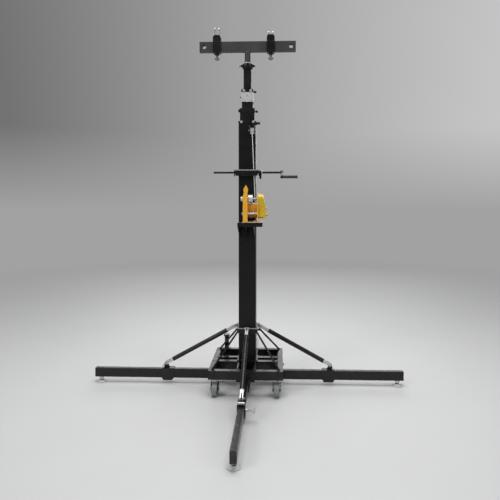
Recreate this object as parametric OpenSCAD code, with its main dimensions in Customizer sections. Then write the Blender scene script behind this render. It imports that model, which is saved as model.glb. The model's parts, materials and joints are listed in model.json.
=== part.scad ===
// Crank lighting stand: square telescopic mast on a four-legged wheeled base.
// Frame: origin on the floor under the mast axis, +Z up, the winch side faces -Y.

/* [Mast] */
// Outside width of the fixed mast tube
mast_w = 100; // [90:1:120]
// Wall of the fixed mast tube
mast_wall = 3; // [2.5:0.5:4]
// Height of the top of the fixed mast tube
mast_top = 1548; // [1400:1:1700]
// Outside width of the second section
sec2_w = 85; // [80:1:88]
// Outside width of the third section
sec3_w = 64; // [58:1:68]
// Outside width of the top section
sec4_w = 45; // [42:1:48]
// Wall of the moving sections
sec_wall = 3; // [2:0.5:4]
// How far the second section stands above the fixed tube
sec2_show = 75; // [60:1:120]
// How far the third section stands above the second
sec3_show = 112; // [90:1:160]
// How far the top section stands above the third
sec4_show = 125; // [80:1:180]
// Height of the guide block at the foot of each section
guide_h = 60; // [40:1:90]

/* [Base] */
// Outside width of the square base frame
base_w = 415; // [400:1:480]
// Width of the frame tubes
frame_tube_w = 30; // [25:1:40]
// Height of the frame tubes
frame_tube_h = 50; // [40:1:60]
// Wall of the frame tubes
frame_wall = 3; // [2:0.5:4]
// Height of the underside of the frame
frame_z = 98; // [98:1:115]
// Gap between the two cross rails under the mast
rail_gap = 40; // [34:1:60]
// Distance of the lengthwise bars from the mast axis
bar_x = 48; // [45:1:60]
// Diameter of the tie rod between the rails
tie_rod_d = 15; // [10:1:18]

/* [Legs] */
// Distance from the mast axis to the tip of a leg
leg_tip = 914; // [800:1:1100]
// Width of a leg tube
leg_w = 30; // [25:1:35]
// Height of a leg tube
leg_h = 54; // [45:1:56]
// Height of the underside of a leg
leg_z = 32.3; // [30:0.1:34]
// Distance from the mast axis to the inner end of a leg
leg_inner = 72; // [66:1:90]
// Distance from the leg tip to the jack screw
jack_inset = 35; // [30:1:60]
// Diameter of the foot pad
pad_d = 60; // [40:1:80]
// Diameter of the jack screw
jack_d = 14; // [10:1:16]

/* [Braces] */
// Distance from the mast axis to the upper brace pin
brace_r1 = 72; // [70:1:78]
// Height of the upper brace pin
brace_z1 = 346; // [300:1:420]
// Distance from the mast axis to the lower brace pin
brace_r2 = 488; // [440:1:560]
// Height of the lower brace pin above the leg
brace_pin_rise = 31; // [26:1:40]
// Diameter of the brace tube
brace_d = 25; // [20:1:28]
// Diameter of the brace pins
pin_d = 8; // [6:0.5:9]
// Length of the collar on a leg
collar_len = 72; // [60:1:90]
// Thickness of the collar plates
collar_t = 5; // [4:0.5:6]

/* [Casters] */
// Diameter of a caster wheel
wheel_d = 75; // [70:1:75]
// Width of a caster tyre
wheel_w = 30; // [24:1:32]
// Distance of the swivel pins from the centre, across
swivel_x = 172; // [165:1:172]
// Distance of the swivel pins from the centre, front to back
swivel_y = 166; // [160:1:170]
// Trail of the wheel behind its swivel pin
trail = 20; // [15:1:25]

/* [Winch] */
// Height of the top of the winch shelf
shelf_z = 965; // [900:1:1020]
// Thickness of the winch side plates
plate_t = 4; // [3:0.5:5]
// Left face of the winch
winch_x = -15; // [-25:1:-8]
// Width between the winch side plates
winch_gap = 76; // [68:1:84]
// Depth of the gear cover
cover_w = 42; // [36:1:48]
// Width of the folded front edge of the left side
front_w = 26; // [20:1:27]
// Diameter of the brake drum on the drive shaft
brake_d = 46; // [36:1:50]
// How far the gear cover draws in towards its top
cover_slope = 16; // [0:1:18]
// Gap between the drum's rims and the guard in front of them
guard_gap = 2.5; // [2:0.5:4]
// Radius of the cable winding on the drum
winding_r = 34; // [28:1:38]
// Radius of the drum flanges
flange_r = 48; // [44:1:50]
// Number of teeth on the drum gear
gear_teeth = 36; // [24:1:44]
// Diameter of the drive shaft
shaft_d = 14; // [10:1:16]
// Diameter of the wire rope
rope_d = 4; // [3:0.1:4]
// Distance of the rope from the mast axis, across
rope_x = 31; // [26:1:34]
// Radius from the sheave axle to the rope
sheave_r = 20; // [18:1:24]
// Drop from the top of the outer mast to the sheave axle
sheave_drop = 58; // [53:1:120]

/* [Crank] */
// Height of the stored crank
crank_z = 1248; // [1222:1:1320]
// Diameter of the crank rod
crank_d = 12; // [10:1:14]
// Left end of the stored crank
crank_left = -192; // [-220:1:-150]
// Right end of the stored crank, where its arm turns forward
crank_right = 200; // [160:1:220]
// Length of the crank arm
crank_arm = 165; // [120:1:190]
// Length of the crank grip
grip_len = 78; // [60:1:110]
// Diameter of the crank's grip
grip_d = 16.4; // [14:0.1:24]
// Half the width of the crank holder
holder_half = 72; // [64:1:80]

/* [Head] */
// Length of the head bar
bar_len = 565; // [460:1:800]
// Height of the head bar section
bar_h = 60; // [50:1:70]
// Depth of the head bar section
bar_t = 25; // [22:1:30]
// Wall of the head bar
bar_wall = 3; // [2:0.5:4]
// Rise from the top of the inner tube to the underside of the head bar
bar_rise = 99; // [90:1:140]
// Diameter of the holes in the head bar
bar_hole_d = 25; // [16:1:28]
// Distance between the holes in the head bar
bar_hole_gap = 510; // [420:1:540]
// Diameter of the spigot
spigot_d = 34; // [28:1:36]
// Width of a head clamp
clamp_w = 46; // [40:1:56]
// Position of the left clamp
clamp_left_x = -180; // [-200:1:-120]
// Position of the right clamp
clamp_right_x = 136; // [100:1:180]
// Height of the left clamp's prongs
prong_left = 45; // [30:1:60]
// Height of the right clamp's prongs
prong_right = 21; // [15:1:50]

/* [Fits] */
// Clearance between sliding faces
slide_c = 0.3; // [0.3:0.05:0.5]
// Radial clearance of a shaft in its hole
bore_c = 0.1; // [0.05:0.01:0.15]
// Gap at a welded butt joint
weld = 0.1; // [0.05:0.01:0.2]

/* [Hidden] */
$fn = 48;

black = [0.11, 0.11, 0.115];
paint_grey = [0.25, 0.24, 0.23];
zinc = [0.72, 0.73, 0.74];
steel = [0.55, 0.56, 0.58];
rubber = [0.5, 0.52, 0.52];
orange = [0.85, 0.5, 0.08];

// Base levels
base_half = base_w / 2;
frame_top = frame_z + frame_tube_h;
foot_plate_t = 6;
mast_z = frame_top + foot_plate_t;
section_z = mast_z + slide_c;
leg_top = leg_z + leg_h;
socket_wall = 4;
socket_len = 60;
tie_rod_z = frame_z + 24;
rail_y = rail_gap / 2 + frame_tube_w / 2;

// Mast levels and inside widths
mast_in = mast_w - 2 * mast_wall;
sec2_in = sec2_w - 2 * sec_wall;
sec3_in = sec3_w - 2 * sec_wall;
sec2_top = mast_top + sec2_show;
sec3_top = sec2_top + sec3_show;
sec4_top = sec3_top + sec4_show;
sheave_z = mast_top - sheave_drop;
bar_z = sec4_top + bar_rise;
cap_lip = 12;
cap2_h = 24;
sleeve_h = 56;
collar3_h = 17;
knob_z3 = sec3_top - 9;
knob_pin_d = 8;

// Mast collar
ring_wall = 9;
ring_half = mast_w / 2 + ring_wall;
ring_z = 316;
ring_h = 30;
flange_half = 69;
flange_t = 3;
lug_t = 6;
notch_half = 15;
stay_d = 11;

// Brace line
brace_z2 = leg_top + brace_pin_rise;
brace_run = brace_r2 - brace_r1;
brace_drop = brace_z1 - brace_z2;
brace_len = norm([brace_run, brace_drop]);
brace_tilt = atan2(brace_drop, brace_run);
fork_up = 57;
fork_low = 48;
cheek_t = 5;
eye_r = 9;
collar_r0 = brace_r2 - 49;
collar_r1 = collar_r0 + collar_len;
collar_in = leg_w / 2 + slide_c;
collar_low = leg_z - 12;
screw_r = brace_r2 + 2;
screw_z = 60;
screw_d = 8;
tee_half = 22;

// Casters
caster_plate_t = 3;
fork_top = frame_z - caster_plate_t - slide_c;
fork_t = 3.5;
fork_in = wheel_w / 2 + 3;
axle_d = 8;
kingpin_d = 10;
corner_in = base_half - 80;
bolt_c = base_half - frame_tube_w / 2;
bolt_in = corner_in + 14;
bolt_d = 8;

// Winch
mast_front = -mast_w / 2;
drum_y = mast_front - 65;
drum_z = shelf_z + 76;
gear_gap = 65;
gear_tip_r = 48;
pinion_tip_r = gear_gap - gear_tip_r - slide_c;
shaft_dy = 35;
shaft_y = drum_y - shaft_dy;
shaft_z = drum_z + sqrt(gear_gap * gear_gap - shaft_dy * shaft_dy);
plate_l = winch_x + plate_t;
plate_r = plate_l + winch_gap;
cover_x = plate_r + plate_t;
cover_end = cover_x + cover_w;
cover_wall = 2.5;
guard_t = 2;
winch_back = mast_front - 12;
winch_front = mast_front - 138;
winch_z = shelf_z + plate_t;
pawl_y = drum_y - 50;
pawl_z = drum_z - 33;
pawl_d = 10;
spacer_d = 10;
rod_y = winch_back - 8;
rod_z = shelf_z + 40;
rod2_y = winch_front + 14;
rod2_z = shelf_z + 50;
gear_x = cover_x + 6;
gear_w = 14;
drum_core_r = 24;

// Rope
rope_y = -(sec2_w + mast_in) / 4;
sheave_y = rope_y - sheave_r;
sheave_w = 24;
sheave_rim = 4;
rope_front = sheave_y - sheave_r;
drum_rope_x = plate_r - 16;
drum_rope_y = drum_y + winding_r + rope_d / 2 + slide_c;
rope_top = [rope_x, rope_front - slide_c, sheave_z];
rope_foot = [drum_rope_x, drum_rope_y, drum_z];
anchor_z = section_z + guide_h;
cover_lo = sheave_z - 33;
cover_hi = sheave_z + 28;
cover_front = rope_front - 9;

// Crank holder
holder_front = mast_front - 50;
crank_y = mast_front - 20;
holder_t = 4;
arm_drop = 0.2;
grip_pin_d = 8;
knuckle_x = crank_right - crank_d / 2 - 2;
grip_x = crank_right + crank_d / 2;
grip_y = crank_y - crank_arm;
grip_z = crank_z - arm_drop * crank_arm;

// Head
bar_top = bar_z + bar_h;
bar_mid = bar_z + bar_h / 2;
clamp_low = bar_z - 6;
clamp_high = bar_top + 37;
clamp_y = bar_t / 2 + slide_c + 8;
boss_low = clamp_low - 12;
wing_low = bar_z - 46;
clamp_screw_d = 12;
spigot_foot = sec4_top - 60;
collar4_z = sec4_top;
collar4_top = sec4_top + 30;

// ---- shared shapes ----

module box(x0, x1, y0, y1, z0, z1) {
    translate([x0, y0, z0]) cube([x1 - x0, y1 - y0, z1 - z0]);
}

// Flat outline drawn in Y and Z, given a thickness along X
module yz(x0, t) {
    translate([x0, 0, 0]) rotate([90, 0, 90]) linear_extrude(t) children();
}

// Flat outline drawn in X and Z, given a thickness along Y
module xz(y0, t) {
    translate([0, y0 + t, 0]) rotate([90, 0, 0]) linear_extrude(t) children();
}

module rod(a, b, d) {
    v = b - a;
    len = norm(v);
    translate(a) rotate([0, acos(v.z / len), atan2(v.y, v.x)]) cylinder(h = len, d = d);
}

module x_rod(x0, x1, y, z, d) {
    translate([x0, y, z]) rotate([0, 90, 0]) cylinder(h = x1 - x0, d = d);
}

module y_rod(x, y0, y1, z, d) {
    translate([x, y1, z]) rotate([90, 0, 0]) cylinder(h = y1 - y0, d = d);
}

module square_ring(w_out, w_in, z0, h) {
    translate([0, 0, z0]) linear_extrude(h) difference() {
        square(w_out, center = true);
        square(w_in, center = true);
    }
}

// Builds a shape drawn along +X towards one of the four sides
module toward(side) {
    if (side == "right") children();
    if (side == "left") mirror([1, 0, 0]) children();
    if (side == "front") rotate([0, 0, -90]) children();
    if (side == "rear") rotate([0, 0, 90]) children();
}

module hex_x(x0, h, y, z, af) {
    translate([x0, y, z]) rotate([0, 90, 0]) cylinder(h = h, d = af / cos(30), $fn = 6);
}

// ---- base ----

module frame_tube_y(x, y0, y1) {
    box(x - frame_tube_w / 2, x + frame_tube_w / 2, y0, y1, frame_z, frame_top);
}

module base_frame() {
    color(black) {
        for (s = [-1, 1]) difference() {
            frame_tube_y(s * bolt_c, -base_half, base_half);
            box(s * bolt_c - frame_tube_w / 2 + frame_wall, s * bolt_c + frame_tube_w / 2 - frame_wall,
                -base_half + frame_wall, base_half - frame_wall,
                frame_z + frame_wall, frame_top - frame_wall);
            x_rod(s * bolt_c - frame_tube_w, s * bolt_c + frame_tube_w, 0, tie_rod_z,
                tie_rod_d + 2 * slide_c);
            for (y = [-bolt_c, -bolt_in, bolt_in, bolt_c])
                translate([s * bolt_c, y, frame_z - 1])
                    cylinder(h = frame_wall + 2, d = bolt_d + 2 * slide_c);
        }
        for (s = [-1, 1]) difference() {
            box(-base_half + frame_tube_w + weld, base_half - frame_tube_w - weld,
                s * bolt_c - frame_tube_w / 2, s * bolt_c + frame_tube_w / 2, frame_z, frame_top);
            for (x = [-bolt_in, bolt_in])
                translate([x, s * bolt_c, frame_z - 1])
                    cylinder(h = frame_wall + 6, d = bolt_d + 2 * slide_c);
        }
        for (s = [-1, 1])
            box(-base_half + frame_tube_w + weld, base_half - frame_tube_w - weld,
                s * rail_y - frame_tube_w / 2, s * rail_y + frame_tube_w / 2, frame_z, frame_top);
        for (s = [-1, 1], t = [-1, 1])
            box(s * bar_x - 4, s * bar_x + 4,
                t < 0 ? -base_half + frame_tube_w + weld : rail_y + frame_tube_w / 2 + weld,
                t < 0 ? -rail_y - frame_tube_w / 2 - weld : base_half - frame_tube_w - weld,
                frame_z, frame_top);
        for (side = ["left", "right", "front", "rear"]) toward(side) {
            leg_socket(base_half - socket_len, base_half - 1);
            leg_socket(leg_inner + 6, leg_inner + 6 + 40);
        }
    }
}

// Sleeve of four plates that a leg slides through, hung under the frame
module leg_socket(x0, x1) {
    half = leg_w / 2 + slide_c;
    low = leg_z - slide_c;
    high = leg_top + slide_c;
    box(x0, x1, -bar_x - 4, bar_x + 4, high, frame_z - weld);
    for (s = [-1, 1])
        box(x0, x1, s > 0 ? half : -half - socket_wall, s > 0 ? half + socket_wall : -half,
            low, high - weld);
    box(x0, x1, -half - socket_wall, half + socket_wall, low - socket_wall, low - weld);
}

module mast_outer() {
    color(black) {
        difference() {
            square_ring(mast_w, mast_in, mast_z, mast_top - cap_lip - mast_z);
            box(rope_x - sheave_w / 2 - 2, rope_x + sheave_w / 2 + 2, mast_front - 1,
                mast_front + mast_wall + 1, sheave_z - sheave_r - 10, sheave_z + sheave_r + 10);
        }
        box(-mast_w / 2 - 10, mast_w / 2 + 10, -mast_w / 2, mast_w / 2, frame_top, mast_z - weld);
    }
}

// Ring low on the mast with four lugs and the four stay rods
module mast_collar() {
    color(black) {
        square_ring(2 * ring_half, mast_w, ring_z, ring_h);
        difference() {
            square_ring(2 * flange_half, 2 * ring_half + 2 * weld, ring_z + ring_h - flange_t, flange_t);
            for (side = ["left", "right", "front", "rear"]) toward(side)
                box(ring_half - 2, flange_half + 1, -notch_half, notch_half, ring_z, ring_z + ring_h + 1);
        }
        for (side = ["left", "right", "front", "rear"]) toward(side) difference() {
            union() {
                box(ring_half + weld, brace_r1, -lug_t / 2, lug_t / 2, ring_z, brace_z1 + eye_r);
                y_rod(brace_r1, -lug_t / 2, lug_t / 2, brace_z1, 2 * eye_r);
            }
            y_rod(brace_r1, -lug_t, lug_t, brace_z1, pin_d + 2 * bore_c);
        }
        for (x = [-1, 1], y = [-1, 1]) difference() {
            rod([x * (ring_half - 2), y * (ring_half - 2), ring_z + 6],
                [x * bolt_c, y * bolt_c, frame_top - 8], stay_d);
            box(-base_half, base_half, -base_half, base_half, frame_top - 40, frame_top);
            box(-ring_half - weld, ring_half + weld, -ring_half - weld, ring_half + weld,
                ring_z - 40, ring_z + ring_h + 40);
        }
    }
}

module caster_plates() {
    color(zinc) for (x = [-1, 1], y = [-1, 1]) difference() {
        translate([x * (corner_in + base_half) / 2, y * (corner_in + base_half) / 2,
            frame_z - caster_plate_t / 2])
            cube([base_half - corner_in, base_half - corner_in, caster_plate_t], center = true);
        translate([x * swivel_x, y * swivel_y, frame_z - 2 * caster_plate_t])
            cylinder(h = 3 * caster_plate_t, d = kingpin_d + 2 * bore_c);
        for (p = [[bolt_c, bolt_c], [bolt_c, bolt_in], [bolt_in, bolt_c]])
            translate([x * p.x, y * p.y, frame_z - 2 * caster_plate_t])
                cylinder(h = 3 * caster_plate_t, d = bolt_d + 2 * slide_c);
    }
}

// Caster bolts, tie rod with its nuts, and the bolts of the mast cap and winch
module fixing_bolts() {
    color(zinc) {
        for (x = [-1, 1], y = [-1, 1], p = [[bolt_c, bolt_c], [bolt_c, bolt_in], [bolt_in, bolt_c]])
            translate([x * p.x, y * p.y, 0]) {
                translate([0, 0, frame_z - caster_plate_t - 5])
                    cylinder(h = 5, d = 13 / cos(30), $fn = 6);
                translate([0, 0, frame_z - caster_plate_t - 1])
                    cylinder(h = caster_plate_t + frame_wall + 1, d = bolt_d);
            }
        for (x = [-34, 36]) y_rod(x, mast_front - 7, mast_front - 1, mast_top - cap_lip / 2, 9);
        for (x = [plate_l + 14, plate_r - 14], y = [winch_back - 26, winch_front + 30])
            translate([x, y, winch_z + weld]) cylinder(h = 6, d = 13 / cos(30), $fn = 6);
    }
    color(black) {
        x_rod(-base_half - 8, base_half + 8, 0, tie_rod_z, tie_rod_d);
    }
}

// Round vial on a small post at one corner of the frame
module spirit_level() {
    x0 = -base_half + 38;
    yc = base_half - frame_tube_w / 2;
    color(black) {
        box(x0, x0 + 48, yc - 14, yc + 14, frame_top, frame_top + 4);
        box(x0 + 11, x0 + 37, yc - 2, yc + 2, frame_top + 4 + weld, frame_top + 76);
    }
    color(zinc) difference() {
        translate([x0 + 24, yc, frame_top + 76 + weld]) cylinder(h = 13, d = 37);
        translate([x0 + 24, yc, frame_top + 84]) cylinder(h = 10, d = 28);
    }
    color("palegreen") translate([x0 + 24, yc, frame_top + 84 + weld]) cylinder(h = 4.5, d = 27.6);
}

// ---- mast heads and sections ----

// Cap that guides a section through the top of the tube below it
module guide_cap(w_out, w_in, z0, h) {
    square_ring(w_out, w_in + 2 * slide_c, z0, h);
}

module mast_head() {
    color(black) {
        difference() {
            guide_cap(mast_w + 2, sec2_w, mast_top - cap_lip + weld, cap_lip - weld);
            x_rod(mast_w / 2 - 20, mast_w / 2 + 10, 0, mast_top - cap_lip / 2, knob_pin_d + 2 * bore_c);
        }
        // flat boss for the lock knob
        difference() {
            box(mast_w / 2 + 1 + weld, mast_w / 2 + 7, -10, 10, mast_top - cap_lip - 4, mast_top);
            x_rod(mast_w / 2 - 20, mast_w / 2 + 10, 0, mast_top - cap_lip / 2, knob_pin_d + 2 * bore_c);
        }
    }
}

// Tube with the guide block at its foot
module section(w, w_around, top) {
    square_ring(w, w - 2 * sec_wall, section_z, top - section_z);
    square_ring(w_around - 2 * slide_c, w + 2 * weld, section_z, guide_h);
}

module mast_2() {
    color(black) {
        section(sec2_w, mast_in, sec2_top - cap2_h);
        difference() {
            guide_cap(sec2_w + 3, sec3_w, sec2_top - cap2_h + weld, cap2_h - weld);
            x_rod(sec2_w / 2 - 30, sec2_w / 2 + 10, 0, sec2_top - cap2_h / 2,
                knob_pin_d + 2 * bore_c);
        }
        box(-sec2_w / 2 - 12, -sec2_w / 2 - 1.5 - weld, -8, 8, sec2_top - 16, sec2_top);
    }
}

module mast_3() {
    color(black) section(sec3_w, sec2_in, sec3_top - collar3_h - weld);
}

module mast_3_head() {
    z1 = sec3_top - collar3_h;
    color(zinc) {
        square_ring(sec3_w + 6, sec3_w + 2 * weld, z1 - sleeve_h, sleeve_h - weld);
        x_rod(-sec3_w / 2 - 14, -sec3_w / 2 - 3 - weld, 0, z1 - 23, 6);
        for (x = [-19, 20]) y_rod(x, -sec3_w / 2 - 8, -sec3_w / 2 - 3 - weld, sec3_top - 9, 9);
    }
    color(black) difference() {
        square_ring(sec3_w + 6, sec4_w + 2 * slide_c, z1, collar3_h);
        x_rod(0, sec3_w, 0, knob_z3, knob_pin_d + 2 * bore_c);
    }
}

module mast_4() {
    color(black) section(sec4_w, sec3_in, sec4_top);
}

// Socket on the top section that holds the spigot, with two wing bolts
module spigot_collar() {
    bore = spigot_d + 2 * bore_c;
    color(black) {
        difference() {
            union() {
                translate([0, 0, spigot_foot]) linear_extrude(sec4_top - spigot_foot)
                    square(sec4_w - 2 * sec_wall - 2 * weld, center = true);
                translate([0, 0, collar4_z + weld]) cylinder(h = 10, d1 = 58, d2 = 66);
                translate([0, 0, collar4_z + 10]) cylinder(h = 14, d = 66);
                translate([0, 0, collar4_z]) cylinder(h = 30, d = spigot_d + 14);
            }
            translate([0, 0, spigot_foot - 1]) cylinder(h = 120, d = bore);
        }
        for (s = [-1, 1])
            box(s > 0 ? 33 + weld : -41, s > 0 ? 41 : -33 - weld, -5, 5, collar4_z + 12, collar4_z + 24);
    }
    color(zinc) for (s = [-1, 1]) {
        x_rod(s > 0 ? 41 + weld : -52, s > 0 ? 52 : -41 - weld, 0, collar4_z + 16, 6);
        box(s > 0 ? 52 + weld : -56, s > 0 ? 56 : -52 - weld, -14, 14, collar4_z + 11, collar4_z + 21);
    }
}

// Spring plunger with a round knob, its pin pointing at the tube on its left
module lock_knob(pin_tip, face, z, knob_d) {
    color(steel) x_rod(pin_tip, face + 4, 0, z, knob_pin_d);
    color(black) {
        x_rod(face + slide_c, face + 6, 0, z, knob_pin_d + 6);
        x_rod(face + 5, face + 17, 0, z, knob_d);
    }
}

// ---- legs, feet and braces ----

module leg() {
    tube_out = leg_tip - 3;
    jack_r = leg_tip - jack_inset;
    color(black) {
        difference() {
            box(leg_inner, tube_out, -leg_w / 2, leg_w / 2, leg_z, leg_top);
            box(leg_inner - 1, tube_out + 1, -leg_w / 2 + 3, leg_w / 2 - 3, leg_z + 3, leg_top - 3);
            translate([jack_r, 0, leg_z - 1]) cylinder(h = 6, d = jack_d + 2 * bore_c);
        }
        box(tube_out + weld, leg_tip, -leg_w / 2, leg_w / 2, leg_z, leg_top);
        difference() {
            translate([jack_r, 0, leg_z - 8]) linear_extrude(8 - weld)
                square([30, leg_w - 4], center = true);
            translate([jack_r, 0, leg_z - 10]) cylinder(h = 20, d = jack_d + 2 * bore_c);
        }
    }
}

module foot() {
    translate([leg_tip - jack_inset, 0, 0]) {
        color(zinc) rotate_extrude() polygon([[0, 0], [pad_d / 2 - 4, 0], [pad_d / 2, 3],
            [pad_d / 2, 6], [pad_d / 2 - 3, 6], [jack_d, 9], [jack_d / 2, 16], [0, 16]]);
        color(steel) translate([0, 0, 15]) cylinder(h = leg_top - 12 - 15, d = jack_d);
    }
}

// Fork end with its pin at the origin, pointing along +X to the plug of the tube
module fork_end(len) {
    block = len - 26;
    for (s = [-1, 1]) {
        y0 = s > 0 ? lug_t / 2 + slide_c : -lug_t / 2 - slide_c - cheek_t;
        y_rod(0, y0, y0 + cheek_t, 0, 2 * eye_r);
        box(0, len - block + 1, y0, y0 + cheek_t, -eye_r, eye_r);
    }
    box(len - block, len, -lug_t / 2 - slide_c - cheek_t, lug_t / 2 + slide_c + cheek_t, -eye_r, eye_r);
    x_rod(len - 1, len + 16, 0, 0, brace_d - 5 - 2 * weld);
    y_rod(0, -lug_t / 2 - slide_c - cheek_t - 4, lug_t / 2 + slide_c + cheek_t + 4, 0, pin_d);
}

module brace() {
    translate([brace_r1, 0, brace_z1]) rotate([0, brace_tilt, 0]) {
        color(black) difference() {
            x_rod(fork_up + weld, brace_len - fork_low - weld, 0, 0, brace_d);
            x_rod(fork_up - 1, brace_len, 0, 0, brace_d - 5);
        }
        color(zinc) {
            fork_end(fork_up);
            translate([brace_len, 0, 0]) rotate([0, 180, 0]) fork_end(fork_low);
        }
    }
}

// Saddle over a leg: top plate, two cheeks, the brace lug and the screw nut
module collar() {
    color(black) {
        box(collar_r0, collar_r1, -collar_in - collar_t, collar_in + collar_t,
            leg_top + slide_c, leg_top + slide_c + collar_t);
        for (s = [-1, 1]) difference() {
            xz(s > 0 ? collar_in : -collar_in - collar_t, collar_t)
                polygon([[collar_r0, leg_top + slide_c - weld], [collar_r0, collar_low + 14],
                    [collar_r0 + 10, collar_low], [collar_r1 - 10, collar_low],
                    [collar_r1, collar_low + 14], [collar_r1, leg_top + slide_c - weld]]);
            y_rod(screw_r, collar_in - 1, collar_in + collar_t + 1, screw_z, screw_d + 2 * bore_c);
        }
        difference() {
            xz(-lug_t / 2, lug_t) polygon([[brace_r2 - 22, leg_top + slide_c + collar_t + weld],
                [brace_r2 - 8, brace_z2 + 4], [brace_r2 + 8, brace_z2 + 4],
                [brace_r2 + 16, leg_top + slide_c + collar_t + weld]]);
            y_rod(brace_r2, -lug_t, lug_t, brace_z2, pin_d + 2 * bore_c);
        }
        difference() {
            y_rod(screw_r, collar_in + collar_t + weld, collar_in + collar_t + 9, screw_z, 18);
            y_rod(screw_r, collar_in, collar_in + collar_t + 10, screw_z, screw_d + 2 * bore_c);
        }
    }
}

module clamp_screw() {
    y1 = collar_in + 52;
    color(steel) {
        y_rod(screw_r, leg_w / 2 + slide_c, y1, screw_z, screw_d);
        x_rod(screw_r - tee_half, screw_r + tee_half, y1 - 5, screw_z, 6);
        for (s = [-1, 1]) translate([screw_r + s * tee_half, y1 - 5, screw_z]) rotate(90) sphere(d = 9);
    }
}

// ---- casters ----

module fork(x, y) {
    translate([x * swivel_x, y * swivel_y, 0]) {
        color(zinc) {
            translate([0, 0, fork_top - 5]) cylinder(h = 5, r = 23);
            translate([0, 0, fork_top - 1]) cylinder(h = caster_plate_t + 4, d = kingpin_d);
        }
        color(black) {
            translate([0, 0, fork_top - 5 - weld - 4]) linear_extrude(4)
                square([2 * (fork_in + fork_t), 40], center = true);
            for (s = [-1, 1]) difference() {
                yz(s > 0 ? fork_in : -fork_in - fork_t, fork_t)
                    polygon([[-20, fork_top - 9 - 2 * weld], [y * trail - 12, wheel_d / 2],
                        [y * trail - 8, wheel_d / 2 - 9], [y * trail + 8, wheel_d / 2 - 9],
                        [y * trail + 12, wheel_d / 2], [20, fork_top - 9 - 2 * weld]]);
                x_rod(-fork_in - 10, fork_in + 10, y * trail, wheel_d / 2, axle_d + 2 * weld);
            }
        }
        color(zinc) {
            x_rod(-fork_in - fork_t - 3, fork_in + fork_t + 3, y * trail, wheel_d / 2, axle_d);
            for (s = [-1, 1])
                hex_x(s > 0 ? fork_in + fork_t + 0.2 : -fork_in - fork_t - 5.2, 5,
                    y * trail, wheel_d / 2, 13);
        }
    }
}

module wheel(x, y) {
    tyre_in = wheel_d / 2 - 9;
    translate([x * swivel_x, y * (swivel_y + trail), wheel_d / 2]) rotate([0, 90, 0]) {
        color(rubber) rotate_extrude() polygon([[tyre_in, -wheel_w / 2 + 1],
            [wheel_d / 2 - 3, -wheel_w / 2], [wheel_d / 2, -wheel_w / 2 + 5],
            [wheel_d / 2, wheel_w / 2 - 5], [wheel_d / 2 - 3, wheel_w / 2],
            [tyre_in, wheel_w / 2 - 1]]);
        color(steel) rotate_extrude() polygon([[axle_d / 2 + bore_c, -wheel_w / 2 - 2],
            [11, -wheel_w / 2 - 2], [12, -6], [tyre_in - 5, -6],
            [tyre_in - weld, -wheel_w / 2 + 2], [tyre_in - weld, wheel_w / 2 - 2],
            [tyre_in - 5, 6], [12, 6], [11, wheel_w / 2 + 2],
            [axle_d / 2 + bore_c, wheel_w / 2 + 2]]);
    }
}

// ---- winch, rope and crank ----

module winch_shelf() {
    x0 = -45;
    x1 = 94;
    y0 = winch_front - 8;
    color(black) {
        box(x0, x1, y0, mast_front, shelf_z - 4, shelf_z);
        box(x0, x1, y0, y0 + 4, shelf_z - 23, shelf_z - 4 - weld);
        for (x = [-45, 0, 41])
            yz(x, 4) polygon([[mast_front, shelf_z - 4 - weld], [mast_front, shelf_z - 90],
                [mast_front - 12, shelf_z - 90], [y0 + 6, shelf_z - 20],
                [y0 + 6, shelf_z - 4 - weld]]);
    }
}

// Side plate outline of the winch, in Y and Z
module winch_side(x, inset) {
    difference() {
        yz(x, plate_t) polygon([[winch_back, winch_z + weld], [winch_front, winch_z + weld],
            [winch_front, winch_z + 50], [winch_front + inset, shaft_z + 14],
            [shaft_y - 6, shaft_z + 24], [drum_y, shaft_z + 34],
            [drum_y + 16, shaft_z + 30], [winch_back, drum_z + 20]]);
        x_rod(x - 1, x + plate_t + 1, shaft_y, shaft_z, shaft_d + 2 * bore_c);
        x_rod(x - 1, x + plate_t + 1, drum_y, drum_z, shaft_d + 2 * bore_c);
        x_rod(x - 1, x + plate_t + 1, pawl_y, pawl_z, pawl_d + 2 * bore_c);
    }
}

module winch_frame() {
    color(orange) {
        box(winch_x - 5, plate_r + plate_t + 26, winch_front, winch_back, shelf_z, winch_z);
        winch_side(winch_x, 0);
        front_flange();
        winch_side(plate_r, 14);
        difference() {
            cover_block(cover_x + weld, 0);
            cover_block(cover_x - 1, cover_wall);
            x_rod(cover_end - 5, cover_end + 5, pawl_y, pawl_z, pawl_d + 2 * bore_c);
        }
        drum_guard();
    }
    color(steel) for (p = [[rod_y, rod_z], [rod2_y, rod2_z]])
        x_rod(plate_l + weld, plate_r - weld, p.x, p.y, spacer_d);
}

// Gear cover outline: a round over the gear and one over the pinion
module cover_outline(inset) {
    r1 = gear_tip_r + 7 - inset;
    r2 = pinion_tip_r + 10 - inset;
    translate([drum_y, drum_z]) circle(r = r1, $fn = 64);
    translate([shaft_y, shaft_z]) circle(r = r2, $fn = 64);
    polygon([[drum_y - r1, drum_z], [shaft_y - r2, shaft_z], [shaft_y, shaft_z + r2],
        [drum_y, drum_z + r1], [drum_y, drum_z]]);
    polygon([[drum_y - r1, drum_z], [pawl_y - 11 + inset, pawl_z], [pawl_y - 11 + inset, pawl_z - 12 + inset],
        [drum_y, pawl_z - 12 + inset], [drum_y, drum_z]]);
}

// Cover with an outer end that slopes in above the drum
module cover_block(x, inset) {
    top = shaft_z + pinion_tip_r + 10;
    intersection() {
        yz(x, cover_end - x - inset) cover_outline(inset);
        xz(winch_front - 40, winch_back - winch_front + 80) polygon([
            [x - 1, winch_z - 20], [cover_end - inset, winch_z - 20],
            [cover_end - inset, drum_z + 10], [cover_end - cover_slope - inset, top],
            [cover_end - cover_slope - inset, top + 10], [x - 1, top + 10]]);
    }
}

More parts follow.
